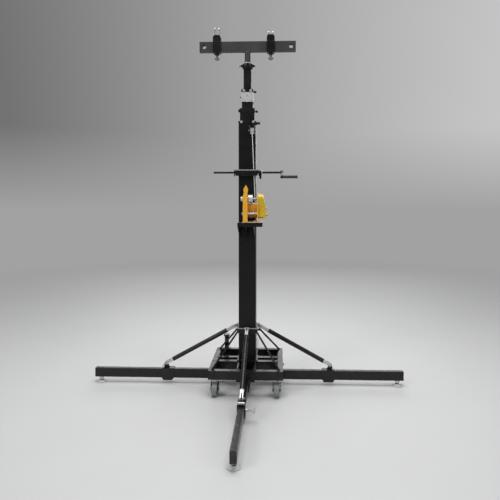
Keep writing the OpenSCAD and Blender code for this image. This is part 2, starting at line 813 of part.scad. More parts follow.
// Edge of the left side folded inwards, with a pointed ear on top
module front_flange() {
    x0 = winch_x;
    x1 = winch_x + front_w;
    xz(winch_front, plate_t) polygon([[x0, winch_z + weld], [x1, winch_z + weld],
        [x1, shaft_z + 33], [x1 + 4, shaft_z + 51], [x0 + 17, shaft_z + 79],
        [x0 + 3, shaft_z + 51], [x0 + 7, shaft_z + 33], [x0, shaft_z + 14]]);
}

// Curved sheet between the side plates, in front of the drum
module drum_guard() {
    r = flange_r + guard_gap;
    yz(plate_l + weld, plate_r - plate_l - 2 * weld) polygon(concat(
        [for (a = [150 : 5 : 260]) [drum_y + r * cos(a), drum_z + r * sin(a)]],
        [for (a = [260 : -5 : 150])
            [drum_y + (r + guard_t) * cos(a), drum_z + (r + guard_t) * sin(a)]]));
}

// Toothed disc in the Y and Z plane
module gear(x, w, teeth, tip, root) {
    pts = [for (i = [0 : teeth - 1], k = [0 : 3])
        let (a = 360 / teeth * (i + [0, 0.2, 0.5, 0.7][k]), r = [tip, tip, root, root][k])
            [r * cos(a), r * sin(a)]];
    yz(x, w) polygon(pts);
}

module winch_drum() {
    x0 = plate_l + slide_c;
    x1 = plate_r - slide_c;
    color(zinc) {
        x_rod(winch_x - 6, cover_end - cover_wall - 6, drum_y, drum_z, shaft_d);
        for (x = [x0, x1 - 3]) x_rod(x, x + 3, drum_y, drum_z, 2 * flange_r);
    }
    color(steel) {
        x_rod(x0 + 2, x1 - 2, drum_y, drum_z, 2 * drum_core_r);
        x_rod(x0 + 3 + weld, x1 - 3 - weld, drum_y, drum_z, 2 * winding_r);
        translate([0, drum_y, drum_z]) gear(gear_x, gear_w, gear_teeth, gear_tip_r, gear_tip_r - 5);
    }
}

module drive_shaft() {
    color(steel) {
        x_rod(winch_x - 12, gear_x + gear_w + 4, shaft_y, shaft_z, shaft_d);
        x_rod(plate_l + slide_c, plate_l + 24, shaft_y, shaft_z, 24);
        x_rod(plate_l + 23, plate_l + 49, shaft_y, shaft_z, brake_d);
        translate([0, shaft_y, shaft_z]) gear(gear_x - 1, gear_w + 2, 11, pinion_tip_r, pinion_tip_r - 4.5);
    }
    color(zinc) hex_x(winch_x - 14, 14 - slide_c, shaft_y, shaft_z, 22);
}

module winch_pawl() {
    reach = norm([pawl_y - drum_y, pawl_z - drum_z]) - gear_tip_r - 1;
    aim = atan2(drum_z - pawl_z, drum_y - pawl_y);
    color(steel) {
        x_rod(plate_r - 3, cover_end + 18, pawl_y, pawl_z, pawl_d);
        translate([0, pawl_y, pawl_z]) yz(gear_x, gear_w) rotate(aim)
            polygon([[-3, -7], [reach, -2.5], [reach, 2.5], [-3, 7]]);
    }
    color(black) translate([0, pawl_y, pawl_z]) yz(cover_end + 11, 6)
        polygon([[-7, -6], [7, -6], [6, 18], [-6, 18]]);
}

module wire_rope() {
    color([0.8, 0.8, 0.78]) difference() {
        rod(rope_top, rope_foot, rope_d);
        box(-100, 200, drum_rope_y - 20, drum_rope_y + 20, drum_z - 20, drum_z + 4);
    }
}

module rope_inner() {
    color([0.8, 0.8, 0.78]) translate([rope_x, rope_y, anchor_z + slide_c])
        cylinder(h = sheave_z - anchor_z - slide_c, d = rope_d);
}

// Grooved wheel that turns the rope from the front of the mast to the inside
module sheave() {
    w = sheave_w / 2;
    groove = sheave_r - rope_d / 2 - slide_c;
    color(steel) translate([rope_x, sheave_y, sheave_z]) rotate([0, 90, 0]) rotate_extrude()
        polygon([[4 + bore_c, -w], [groove + sheave_rim, -w],
            [groove + sheave_rim, -rope_d / 2 - 2.5], [groove, -rope_d / 2],
            [groove, rope_d / 2], [groove + sheave_rim, rope_d / 2 + 2.5],
            [groove + sheave_rim, w], [4 + bore_c, w]]);
}

module sheave_cover() {
    x0 = rope_x - 17;
    x1 = rope_x + 17;
    color([0.82, 0.82, 0.8]) {
        for (x = [x0, x1 - 3]) difference() {
            yz(x, 3) polygon([[mast_front, cover_lo], [mast_front - 14, cover_lo],
                [cover_front, sheave_z - 6], [cover_front, cover_hi - 12],
                [cover_front + 12, cover_hi], [mast_front, cover_hi]]);
            x_rod(x - 1, x + 4, sheave_y, sheave_z, 8);
        }
        x_rod(x0 + 3 + weld, x1 - 3 - weld, cover_front + 3, cover_hi - 16, 5);
        box(x0 + 3 + weld, x1 - 3 - weld, cover_front + 12, mast_front, cover_hi - 3, cover_hi);
    }
    color(zinc) {
        x_rod(x0 - 4, x1 + 4, sheave_y, sheave_z, 8 - 2 * weld);
        for (x = [x0 - 4, x1 + weld]) hex_x(x, 4 - weld, sheave_y, sheave_z, 13);
    }
}

module crank_holder() {
    x1 = holder_half;
    zt = crank_z + crank_d / 2 + 10;
    zb = crank_z - crank_d / 2 - 14;
    color(black) {
        xz(holder_front, holder_t) polygon([[-x1, zt - 10], [x1, zt - 10], [x1 - 12, zb], [-x1 + 12, zb]]);
        difference() {
            box(-x1, x1, holder_front, mast_front, zt - 10 + weld, zt - 6);
            box(rope_x + 4, drum_rope_x - 2, holder_front + 8, crank_y - 4, zt - 20, zt + 1);
        }
        for (s = [-1, 1]) difference() {
            box(s > 0 ? x1 - holder_t : -x1, s > 0 ? x1 : -x1 + holder_t,
                holder_front + holder_t + weld, mast_front + 30, zb, zt - 10);
            box(-mast_w / 2 - 1, mast_w / 2 + 1, mast_front, 0, 0, zt + 10);
            x_rod(-x1 - 1, x1 + 1, crank_y, crank_z, crank_d + 2 * slide_c);
        }
    }
    color(zinc) {
        box(-x1, x1, holder_front, holder_front + 8, zt - 6 + weld, zt);
        difference() {
            union() {
                x_rod(x1 + weld, x1 + 12, crank_y, crank_z, crank_d + 14);
                box(x1 + weld, x1 + 12, crank_y - 7, crank_y + 7, crank_z - 36, crank_z);
            }
            x_rod(x1 - 1, x1 + 20, crank_y, crank_z, crank_d + 2 * slide_c);
        }
    }
}

module crank_handle() {
    color(black) {
        x_rod(crank_left, crank_right, crank_y, crank_z, crank_d);
        x_rod(knuckle_x, grip_x + 2, crank_y, crank_z, crank_d + 10);
        rod([crank_right, crank_y - 6, crank_z - 6 * arm_drop],
            [crank_right, grip_y + 4, grip_z], crank_d);
        x_rod(knuckle_x, grip_x, grip_y, grip_z, crank_d + 6);
    }
    color(steel) x_rod(grip_x - 1, grip_x + grip_len + 4, grip_y, grip_z, grip_pin_d);
}

module crank_grip() {
    color(black) translate([grip_x + slide_c, grip_y, grip_z]) rotate([0, 90, 0])
        rotate_extrude() polygon([[grip_pin_d / 2 + bore_c, 0], [grip_d / 2 - 1.2, 0],
            [grip_d / 2 - 0.4, 4], [grip_d / 2, grip_len / 3], [grip_d / 2, grip_len * 2 / 3],
            [grip_d / 2 + 0.6, grip_len - 4], [grip_d / 2 - 1.2, grip_len],
            [grip_pin_d / 2 + bore_c, grip_len]]);
}

// ---- head ----

module head_bar() {
    color(paint_grey) {
        difference() {
            box(-bar_len / 2, bar_len / 2, -bar_t / 2, bar_t / 2, bar_z, bar_top);
            box(-bar_len / 2 - 1, bar_len / 2 + 1, -bar_t / 2 + bar_wall, bar_t / 2 - bar_wall,
                bar_z + bar_wall, bar_top - bar_wall);
            for (s = [-1, 1])
                y_rod(s * bar_hole_gap / 2, -bar_t, bar_t, bar_mid, bar_hole_d);
        }
        translate([0, 0, spigot_foot + 4]) cylinder(h = bar_z - weld - spigot_foot - 4, d = spigot_d);
    }
    color(zinc) difference() {
        translate([0, 0, collar4_top + slide_c]) cylinder(h = 5, d = spigot_d + 10);
        translate([0, 0, collar4_top]) cylinder(h = 10, d = spigot_d + 2 * weld);
    }
}

// Body that wraps the bar, with two prongs on top
module clamp(x, prong) {
    bar_y = bar_t / 2 + slide_c;
    half = clamp_w / 2;
    translate([x, 0, 0]) {
        color(black) {
            for (s = [-1, 1])
                box(-half, half, s > 0 ? bar_y : -clamp_y, s > 0 ? clamp_y : -bar_y,
                    clamp_low, bar_top + slide_c);
            difference() {
                box(-half, half, -bar_y + weld, bar_y - weld, clamp_low, bar_z - slide_c);
                translate([0, 0, clamp_low - 1])
                    cylinder(h = 10, d = clamp_screw_d + 2 * bore_c);
            }
            xz(-clamp_y, 2 * clamp_y) polygon([[-half, bar_top + slide_c + weld],
                [half, bar_top + slide_c + weld], [half, clamp_high - 12],
                [half - 8, clamp_high], [-half + 8, clamp_high], [-half, clamp_high - 12]]);
            difference() {
                translate([0, 0, boss_low]) cylinder(h = clamp_low - boss_low - weld, d = 24);
                translate([0, 0, boss_low - 1])
                    cylinder(h = 20, d = clamp_screw_d + 2 * bore_c);
            }
        }
        color(zinc) for (s = [-1, 1])
            yz(s > 0 ? 8 : -16, 8) polygon([[-12, clamp_high + weld], [12, clamp_high + weld],
                [12, clamp_high + prong - 6], [6, clamp_high + prong],
                [-6, clamp_high + prong], [-12, clamp_high + prong - 6]]);
    }
}

module clamp_wing_screw(x) {
    translate([x, 0, 0]) color(zinc) {
        translate([0, 0, wing_low]) cylinder(h = bar_z - slide_c - wing_low, d = clamp_screw_d);
        translate([0, 0, wing_low]) cylinder(h = 10, d = 20);
        xz(-2.5, 5) polygon([[-15, wing_low + 14], [-12, wing_low], [12, wing_low],
            [15, wing_low + 14], [9, wing_low + 12], [0, wing_low + 8], [-9, wing_low + 12]]);
    }
}

base_frame();
mast_outer();
mast_collar();
mast_head();
caster_plates();
fixing_bolts();
spirit_level();
winch_shelf();
winch_frame();
crank_holder();
sheave_cover();
wire_rope();
rope_inner();
fork(-1, -1);  // fork_fl
fork(1, -1);  // fork_fr
fork(-1, 1);  // fork_rl
fork(1, 1);  // fork_rr
wheel(-1, -1);  // wheel_fl
wheel(1, -1);  // wheel_fr
wheel(-1, 1);  // wheel_rl
wheel(1, 1);  // wheel_rr
toward("left") leg();  // leg_left
toward("right") leg();  // leg_right
toward("front") leg();  // leg_front
toward("rear") leg();  // leg_rear
toward("left") foot();  // foot_left
toward("right") foot();  // foot_right
toward("front") foot();  // foot_front
toward("rear") foot();  // foot_rear
toward("left") brace();  // brace_left
toward("right") brace();  // brace_right
toward("front") brace();  // brace_front
toward("rear") brace();  // brace_rear
toward("left") collar();  // collar_left
toward("right") collar();  // collar_right
toward("front") collar();  // collar_front
toward("rear") collar();  // collar_rear
toward("left") clamp_screw();  // screw_left
toward("right") clamp_screw();  // screw_right
toward("front") clamp_screw();  // screw_front
toward("rear") clamp_screw();  // screw_rear
mast_2();
mast_3();
mast_3_head();
mast_4();
spigot_collar();
winch_drum();
drive_shaft();
winch_pawl();
sheave();
crank_handle();
crank_grip();
head_bar();
clamp(clamp_left_x, prong_left);  // clamp_left
clamp(clamp_right_x, prong_right);  // clamp_right
clamp_wing_screw(clamp_left_x);  // clamp_screw_left
clamp_wing_screw(clamp_right_x);  // clamp_screw_right
lock_knob(sec2_w / 2 + slide_c, mast_w / 2 + 7, mast_top - cap_lip / 2, 16);  // lock_knob_1
lock_knob(sec3_w / 2 + slide_c, sec2_w / 2 + 1.5, sec2_top - cap2_h / 2, 14);  // lock_knob_2
lock_knob(sec4_w / 2 + slide_c, sec3_w / 2 + 3, knob_z3, 12);  // lock_knob_3
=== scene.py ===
import json
import math
import bmesh
import bpy
import numpy as np
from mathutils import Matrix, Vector


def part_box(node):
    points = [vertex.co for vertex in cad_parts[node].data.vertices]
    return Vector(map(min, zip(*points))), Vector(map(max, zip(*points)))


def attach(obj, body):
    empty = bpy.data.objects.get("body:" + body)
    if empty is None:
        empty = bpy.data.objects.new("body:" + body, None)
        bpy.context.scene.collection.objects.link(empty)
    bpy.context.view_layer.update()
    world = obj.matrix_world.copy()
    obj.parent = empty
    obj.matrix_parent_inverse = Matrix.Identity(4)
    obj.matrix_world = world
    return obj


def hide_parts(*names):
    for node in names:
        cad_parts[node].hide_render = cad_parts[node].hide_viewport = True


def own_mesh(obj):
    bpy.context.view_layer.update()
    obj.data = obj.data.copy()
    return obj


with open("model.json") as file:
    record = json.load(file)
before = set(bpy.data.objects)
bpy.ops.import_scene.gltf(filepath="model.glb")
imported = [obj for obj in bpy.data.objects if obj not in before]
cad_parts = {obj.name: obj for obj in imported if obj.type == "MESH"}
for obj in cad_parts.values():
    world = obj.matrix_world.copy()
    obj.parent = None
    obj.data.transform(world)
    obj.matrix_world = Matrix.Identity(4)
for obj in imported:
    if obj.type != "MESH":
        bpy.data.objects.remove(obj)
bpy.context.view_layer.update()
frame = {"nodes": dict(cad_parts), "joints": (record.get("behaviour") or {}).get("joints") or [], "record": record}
joints = {j["name"]: j for j in frame["joints"]}
sides = {"left": (-1, 0), "right": (1, 0), "front": (0, -1), "rear": (0, 1)}
corners = {"fl": (-1, -1), "fr": (1, -1), "rl": (-1, 1), "rr": (1, 1)}
X, Z = (1, 0, 0), (0, 0, 1)
print("frame loaded,", len(frame["nodes"]), "nodes")


# camera

cameraLook = {"place": (0.1796, -2.7686, 1.0897), "pitch": -0.0155, "turn": 0.0378,
              "lens": 33.78, "shiftX": -0.0207, "shiftY": -0.0853}


def makeCamera(look):
    data = bpy.data.cameras.new("camera")
    data.lens, data.sensor_width = look["lens"], 36
    data.shift_x, data.shift_y = look["shiftX"], look["shiftY"]
    camera = bpy.data.objects.new("camera", data)
    camera.location = look["place"]
    camera.rotation_euler = (math.pi / 2 + look["pitch"], 0, look["turn"])
    bpy.context.scene.collection.objects.link(camera)
    bpy.context.scene.camera = camera


makeCamera(cameraLook)


# materials

def newMaterial(name, color, metallic, roughness):
    mat = bpy.data.materials.new(name)
    mat.use_nodes = True
    shader = mat.node_tree.nodes["Principled BSDF"]
    shader.inputs["Base Color"].default_value = (*color, 1)
    shader.inputs["Metallic"].default_value = metallic
    shader.inputs["Roughness"].default_value = roughness
    return mat, shader


def addNode(mat, kind, **values):
    node = mat.node_tree.nodes.new(kind)
    for key, value in values.items():
        if key in node.inputs:
            node.inputs[key].default_value = value
        else:
            setattr(node, key, value)
    return node


def link(mat, out, into):
    mat.node_tree.links.new(out, into)


def objectPoint(mat, stretch=(1, 1, 1)):
    point = addNode(mat, "ShaderNodeTexCoord")
    mapping = addNode(mat, "ShaderNodeMapping")
    mapping.inputs["Scale"].default_value = stretch
    link(mat, point.outputs["Object"], mapping.inputs["Vector"])
    return mapping.outputs["Vector"]


def noise(mat, scale, detail=3, stretch=(1, 1, 1)):
    node = addNode(mat, "ShaderNodeTexNoise", Scale=scale, Detail=detail)
    link(mat, objectPoint(mat, stretch), node.inputs["Vector"])
    return node.outputs["Fac"]


def spread(mat, value, low, high, outLow, outHigh):
    node = addNode(mat, "ShaderNodeMapRange")
    for key, number in zip(("From Min", "From Max", "To Min", "To Max"), (low, high, outLow, outHigh)):
        node.inputs[key].default_value = number
    link(mat, value, node.inputs["Value"])
    return node.outputs["Result"]


def times(mat, a, b):
    node = addNode(mat, "ShaderNodeMath", operation="MULTIPLY", use_clamp=True)
    link(mat, a, node.inputs[0])
    link(mat, b, node.inputs[1])
    return node.outputs[0]


def mixColor(mat, share, under, over):
    node = addNode(mat, "ShaderNodeMix", data_type="RGBA")
    link(mat, share, node.inputs["Factor"])
    for socket, color in ((6, under), (7, over)):
        if isinstance(color, bpy.types.NodeSocket):
            link(mat, color, node.inputs[socket])
        else:
            node.inputs[socket].default_value = (*color, 1)
    return node.outputs[2]


def bumpFrom(mat, shader, value, strength, distance, under=None):
    node = addNode(mat, "ShaderNodeBump", Strength=strength, Distance=distance)
    link(mat, value, node.inputs["Height"])
    if under:
        link(mat, under.outputs["Normal"], node.inputs["Normal"])
    link(mat, node.outputs["Normal"], shader.inputs["Normal"])
    return node


# share of bare edge: how far the rounded normal leans from the true one, broken up by noise
def edgeWear(mat, radius, amount):
    soft = addNode(mat, "ShaderNodeBevel", samples=4, Radius=radius)
    true = addNode(mat, "ShaderNodeNewGeometry")
    dot = addNode(mat, "ShaderNodeVectorMath", operation="DOT_PRODUCT")
    link(mat, soft.outputs["Normal"], dot.inputs[0])
    link(mat, true.outputs["Normal"], dot.inputs[1])
    edge = spread(mat, dot.outputs["Value"], 0.995, 0.88, 0, 1)
    return times(mat, edge, spread(mat, noise(mat, 45, 5), 0.56 - amount, 0.62 - amount * 0.5, 0, 1))


def paint(name, look):
    mat, shader = newMaterial(name, look["color"], 0, look["rough"])
    broad = spread(mat, noise(mat, 5, 4), 0.3, 0.7, 0, 1)
    color = mixColor(mat, broad, look["color"], look["faded"])
    dust = times(mat, spread(mat, noise(mat, 60, 6), 0.5, 0.75, 0, 1), broad)
    color = mixColor(mat, times(mat, dust, spread(mat, dust, 0, 1, 0, look["dusty"])), color, look["dust"])
    scratch = spread(mat, noise(mat, 38, 2, look["grain"]), 0.69, 0.72, 0, look["scratched"])
    color = mixColor(mat, scratch, color, look["under"])
    worn = edgeWear(mat, look["edge"], look["worn"])
    color = mixColor(mat, worn, color, look["under"])
    link(mat, color, shader.inputs["Base Color"])
    link(mat, spread(mat, noise(mat, 22, 5), 0.3, 0.7, look["rough"] - 0.08, look["rough"] + 0.1),
         shader.inputs["Roughness"])
    peel = bumpFrom(mat, shader, noise(mat, look["peel"], 2), look["peelDepth"], 0.0006)
    bumpFrom(mat, shader, spread(mat, worn, 0, 1, 1, 0), 0.25, 0.0004, peel)
    shader.inputs["Specular IOR Level"].default_value = look["specular"]
    shader.inputs["Coat Weight"].default_value = look["coat"]
    shader.inputs["Coat Roughness"].default_value = 0.2
    return mat


blackLook = {"color": (0.0035, 0.0035, 0.004), "faded": (0.0065, 0.0063, 0.0066),
             "dust": (0.05, 0.048, 0.045),
             "under": (0.09, 0.087, 0.084), "rough": 0.36, "specular": 0.28, "dusty": 0.2,
             "grain": (30, 30, 1), "scratched": 0.35,
             "edge": 0.0016, "worn": 0.07, "peel": 900, "peelDepth": 0.12, "coat": 0.0}
paints = {
    "blackPaint": blackLook,
    "legPaint": {**blackLook, "grain": (1, 1, 30), "dusty": 0.4, "worn": 0.09, "rough": 0.27,
                 "specular": 0.4},
    "framePaint": {**blackLook, "grain": (4, 1, 18), "dusty": 0.4, "worn": 0.1, "rough": 0.27,
                   "specular": 0.4},
    "headPaint": {**blackLook, "color": (0.030, 0.030, 0.029), "faded": (0.056, 0.058, 0.057), "dusty": 0.5,
                  "grain": (1, 20, 14), "under": (0.1, 0.055, 0.04), "worn": 0.12, "rough": 0.5},
    "winchPaint": {**blackLook, "color": (0.86, 0.38, 0.016), "faded": (0.92, 0.54, 0.05),
                   "dust": (0.32, 0.14, 0.03),
                   "under": (0.32, 0.22, 0.12), "rough": 0.3, "dusty": 0.7, "coat": 0.4, "worn": 0.08},
    "coverPaint": {**blackLook, "color": (0.62, 0.5, 0.018), "faded": (0.66, 0.42, 0.018),
                   "dust": (0.4, 0.24, 0.03),
                   "under": (0.35, 0.25, 0.12), "rough": 0.28, "dusty": 0.6, "coat": 0.5, "worn": 0.06},
    "guardPaint": {**blackLook, "color": (0.52, 0.17, 0.012), "faded": (0.66, 0.27, 0.016),
                   "dust": (0.2, 0.09, 0.03), "under": (0.3, 0.2, 0.12), "rough": 0.4, "dusty": 0.8,
                   "coat": 0.2},
    "creamPaint": {**blackLook, "color": (0.74, 0.52, 0.26), "faded": (0.8, 0.6, 0.36),
                   "dust": (0.4, 0.3, 0.18),
                   "under": (0.3, 0.24, 0.18), "rough": 0.4, "worn": 0.08},
    "whitePaint": {**blackLook, "color": (0.6, 0.61, 0.59), "faded": (0.46, 0.47, 0.46),
                   "dust": (0.2, 0.19, 0.17),
                   "under": (0.24, 0.23, 0.22), "rough": 0.42, "worn": 0.05, "scratched": 0.6},
    "stripPaint": {**blackLook, "color": (0.27, 0.27, 0.28), "faded": (0.34, 0.34, 0.35),
                   "dust": (0.16, 0.15, 0.14),
                   "under": (0.24, 0.23, 0.22), "rough": 0.4, "worn": 0.05},
}


def metal(name, look):
    mat, shader = newMaterial(name, look["color"], look["metallic"], look["rough"])
    patch = spread(mat, noise(mat, look["patch"], 5), 0.35, 0.65, 0, 1)
    color = mixColor(mat, patch, look["color"], look["dull"])
    stain = spread(mat, noise(mat, 34, 6), 0.6, 0.74, 0, look["stained"])
    color = mixColor(mat, stain, color, look["stain"])
    link(mat, color, shader.inputs["Base Color"])
    link(mat, spread(mat, noise(mat, 120, 4, look["grain"]), 0.3, 0.7, look["rough"] - 0.08,
                     look["rough"] + 0.12),
         shader.inputs["Roughness"])
    bumpFrom(mat, shader, noise(mat, look["pit"], 4, look["grain"]), look["pitDepth"], 0.0004)
    return mat


zincLook = {"color": (0.66, 0.67, 0.68), "dull": (0.5, 0.51, 0.52), "stain": (0.26, 0.22, 0.17),
            "stained": 0.45,
            "rough": 0.36, "metallic": 0.6, "patch": 40, "grain": (1, 1, 1), "pit": 700, "pitDepth": 0.1}
metals = {
    "zinc": zincLook,
    "paleZinc": {**zincLook, "color": (0.8, 0.8, 0.78), "dull": (0.68, 0.68, 0.66), "rough": 0.42,
                 "stained": 0.2},
    "castZinc": {**zincLook, "color": (0.5, 0.51, 0.52), "dull": (0.34, 0.35, 0.36), "rough": 0.4},
    "bareSteel": {**zincLook, "color": (0.42, 0.42, 0.43), "dull": (0.3, 0.29, 0.28), "stained": 0.6,
                  "grain": (1, 9, 9), "pitDepth": 0.16},
    "wire": {**zincLook, "color": (0.86, 0.86, 0.84), "dull": (0.74, 0.74, 0.72), "rough": 0.5,
             "stained": 0.2,
             "metallic": 0.25},
    "darkZinc": {**zincLook, "color": (0.26, 0.255, 0.25), "dull": (0.17, 0.165, 0.16), "rough": 0.42},
}


def softStuff(name, look):
    mat, shader = newMaterial(name, look["color"], 0, look["rough"])
    color = mixColor(mat, spread(mat, noise(mat, 30, 5), 0.3, 0.7, 0, 1), look["color"], look["faded"])
    dirt = spread(mat, noise(mat, 90, 6), 0.52, 0.7, 0, look["dirty"])
    link(mat, mixColor(mat, dirt, color, look["dirt"]), shader.inputs["Base Color"])
    link(mat, spread(mat, noise(mat, 60, 3), 0.3, 0.7, look["rough"] - 0.06, look["rough"] + 0.08),
         shader.inputs["Roughness"])
    bumpFrom(mat, shader, noise(mat, look["fine"], 3), look["depth"], 0.0005)
    return mat


softs = {
    "tyreRubber": {"color": (0.2, 0.21, 0.21), "faded": (0.27, 0.28, 0.28), "dirt": (0.1, 0.09, 0.08),
                   "dirty": 0.6, "rough": 0.62, "fine": 1200, "depth": 0.25},
    "hubPlastic": {"color": (0.1, 0.105, 0.11), "faded": (0.14, 0.145, 0.15), "dirt": (0.08, 0.075, 0.07),
                   "dirty": 0.5, "rough": 0.5, "fine": 900, "depth": 0.2},
    "plugPlastic": {"color": (0.012, 0.012, 0.012), "faded": (0.02, 0.02, 0.02),
                    "dirt": (0.08, 0.075, 0.07),
                    "dirty": 0.4, "rough": 0.45, "fine": 1500, "depth": 0.3},
    "gripRubber": {"color": (0.015, 0.015, 0.016), "faded": (0.028, 0.028, 0.028),
                   "dirt": (0.07, 0.065, 0.06),
                   "dirty": 0.4, "rough": 0.55, "fine": 1800, "depth": 0.4},
    "vialLiquid": {"color": (0.42, 0.5, 0.32), "faded": (0.5, 0.56, 0.4), "dirt": (0.3, 0.36, 0.22),
                   "dirty": 0.1, "rough": 0.15, "fine": 300, "depth": 0.02},
}
finishes = {name: paint(name, look) for name, look in paints.items()}
finishes.update({name: metal(name, look) for name, look in metals.items()})
finishes.update({name: softStuff(name, look) for name, look in softs.items()})


print("materials made:", len(finishes))


# shapes: each is (points, faces) in metres

# a grid's face joins (i, j), (i+1, j), (i+1, j+1) and (i, j+1), wrapped where the grid closes
def gridShape(points, closeRows=False, closeCols=True, caps=False):
    rows, cols = points.shape[:2]
    i, j = np.meshgrid(np.arange(rows if closeRows else rows - 1),
                       np.arange(cols if closeCols else cols - 1), indexing="ij")
    i, j = i.ravel(), j.ravel()
    k, m = (i + 1) % rows, (j + 1) % cols
    faces = np.stack([i * cols + j, i * cols + m, k * cols + m, k * cols + j], 1).tolist()
    if caps:
        faces.append(list(range(cols))[::-1])
        faces.append([(rows - 1) * cols + c for c in range(cols)])
    return points.reshape(-1, 3), faces


# a shape drawn along +Z is turned to point along a direction, then moved
def placed(shape, at, direction=Z):
    turn = np.array(Vector(direction).to_track_quat("Z", "Y").to_matrix())
    return shape[0] @ turn.T + np.array(at, float), shape[1]


# point = (r cos a, r sin a, h) for each (r, h) of the profile; corners, where given, make flats:
# r is then shortened to flat / cos(a measured from the middle of its flat)
def lathe(profile, around=40, flats=0, size=0):
    profile = np.array(profile, float)
    a = np.linspace(0, 2 * math.pi, around, endpoint=False)
    r = np.repeat(profile[:, :1], around, 1)
    if flats:
        step = 2 * math.pi / flats
        r = np.minimum(r, size / 2 / np.cos((a + step / 2) % step - step / 2))
    h = np.repeat(profile[:, 1:2], around, 1)
    return gridShape(np.stack([r * np.cos(a), r * np.sin(a), h], -1))


def pin(start, end, d, chamfer=0.0006, around=32):
    a, b = np.array(start, float), np.array(end, float)
    length, r = np.linalg.norm(b - a), d / 2
    return placed(lathe([(0, 0), (r - chamfer, 0), (r, chamfer), (r, length - chamfer),
                         (r - chamfer, length), (0, length)], around), a, b - a)


# hexagon head or nut: a hexagon met by a cone at both faces
def hexNut(at, direction, width, height, hole=0):
    r = width / 2 / math.cos(math.pi / 6)
    c = r - width / 2
    inside = [(hole / 2, height - c * 0.4), (hole / 2, c * 0.4)] if hole else []
    profile = inside[1:] + [(hole / 2, 0), (width / 2 * 0.96, 0), (r, c * 0.6), (r, height - c * 0.6),
                            (width / 2 * 0.96, height), (hole / 2, height)] + inside[:1]
    return placed(lathe(profile, 48, 6, width), at, direction)


def washer(at, direction, outer, hole, t):
    return placed(lathe([(hole / 2, 0), (outer / 2, 0), (outer / 2, t), (hole / 2, t), (hole / 2, 0)], 32),
                  at, direction)


# radius = core + ridge height x triangle wave of (h / pitch - a / full turn)
def threaded(start, end, d, pitch, around=28, perTurn=6):
    a, b = np.array(start, float), np.array(end, float)
    length = np.linalg.norm(b - a)
    h = np.linspace(0, length, max(3, int(length / pitch * perTurn)))
    t = np.linspace(0, 2 * math.pi, around, endpoint=False)
    hh, tt = np.meshgrid(h, t, indexing="ij")
    wave = np.abs(((hh / pitch - tt / (2 * math.pi)) % 1) * 2 - 1)
    r = d / 2 - pitch * 0.5 * (1 - wave)
    r[0] = r[-1] = d / 2 - pitch * 0.6
    return placed(gridShape(np.stack([r * np.cos(tt), r * np.sin(tt), hh], -1), caps=True), a, b - a)


# outline of a rectangle with round corners, as points round the middle
def roundRect(w, h, r, perCorner=6):
    q = np.linspace(0, math.pi / 2, perCorner)
    centres = [(w / 2 - r, h / 2 - r), (r - w / 2, h / 2 - r), (r - w / 2, r - h / 2),
               (w / 2 - r, r - h / 2)]
    return np.concatenate([np.stack([cx + r * np.cos(q + k * math.pi / 2),
                                     cy + r * np.sin(q + k * math.pi / 2)], 1)
                           for k, (cx, cy) in enumerate(centres)])


# square tube: the outside outline up, over a small lip and the inside outline down again
def squareTube(w, h, wall, r, low, high, lip=0.0006):
    rings = []
    for inset, z in ((lip, low), (0, low + lip), (0, high - lip), (lip, high),
                     (wall - lip, high), (wall, high - lip), (wall, low + lip), (wall - lip, low)):
        outline = roundRect(w - 2 * inset, h - 2 * inset, max(r - inset, 0.0006))
        rings.append(np.column_stack([outline, np.full(len(outline), z)]))
    return gridShape(np.array(rings), closeRows=True)


# box with round edges: each ring is the rounded outline, drawn in by r (1 - cos) and raised by r sin
def softBox(low, high, r, steps=4):
    low, high = np.array(low, float), np.array(high, float)
    w, d, h = high - low
    r = min(r, w / 2.01, d / 2.01, h / 2.01)
    q = np.linspace(0, math.pi / 2, steps)
    inset = np.concatenate([r * (1 - np.sin(q)), r * (1 - np.cos(q))])
    z = np.concatenate([r * (1 - np.cos(q)), h - r + r * np.sin(q)])
    rings = [np.column_stack([roundRect(w - 2 * i, d - 2 * i, max(r - i, 0.0002)),
                              np.full(24, k)]) for i, k in zip(inset, z)]
    pts = np.array(rings) + np.array([(low[0] + high[0]) / 2, (low[1] + high[1]) / 2, low[2]])
    return gridShape(pts, caps=True)


# frames that follow a path: the side vector is carried on and kept square to the path
def carried(path, closed=False):
    path = np.array(path, float)
    ahead = np.roll(path, -1, 0) - np.roll(path, 1, 0)
    if not closed:
        ahead[0], ahead[-1] = path[1] - path[0], path[-1] - path[-2]
    ahead /= np.linalg.norm(ahead, axis=1)[:, None]
    side = np.cross(ahead[0], Z if abs(ahead[0][2]) < 0.9 else X)
    out = []
    for a in ahead:
        side = side - a * (side @ a)
        side /= np.linalg.norm(side)
        out.append(side)
    side = np.array(out)
    return path, ahead, side, np.cross(ahead, side)


# round section carried along a path: centre + r(i, j) (side cos a + up sin a)
def sweep(path, radius, around=12, closed=False):
    path, ahead, side, up = carried(path, closed)
    a = np.linspace(0, 2 * math.pi, around, endpoint=False)
    r = np.broadcast_to(np.asarray(radius, float), (len(path), around)) if np.ndim(radius) else radius
    r = np.full((len(path), around), r) if np.ndim(r) == 0 else r
    ring = side[:, None] * np.cos(a)[None, :, None] + up[:, None] * np.sin(a)[None, :, None]
    return gridShape(path[:, None] + r[..., None] * ring, closeRows=closed, caps=not closed)


# weld bead: a sweep whose radius rises and falls once every ripple length
def weldBead(points, r=0.0022, ripple=0.0035, closed=False):
    points = np.array(points, float)
    if closed:
        points = np.vstack([points, points[:1]])
    runs = np.linalg.norm(np.diff(points, axis=0), axis=1)
    at = np.concatenate([[0], np.cumsum(runs)])
    s = np.linspace(0, at[-1], max(8, int(at[-1] / ripple * 3)), endpoint=not closed)
    path = np.stack([np.interp(s, at, points[:, k]) for k in range(3)], 1)
    wave = r * (0.86 + 0.14 * np.abs(np.sin(math.pi * s / ripple)))
    return sweep(path, np.repeat(wave[:, None], 8, 1), 8, closed)


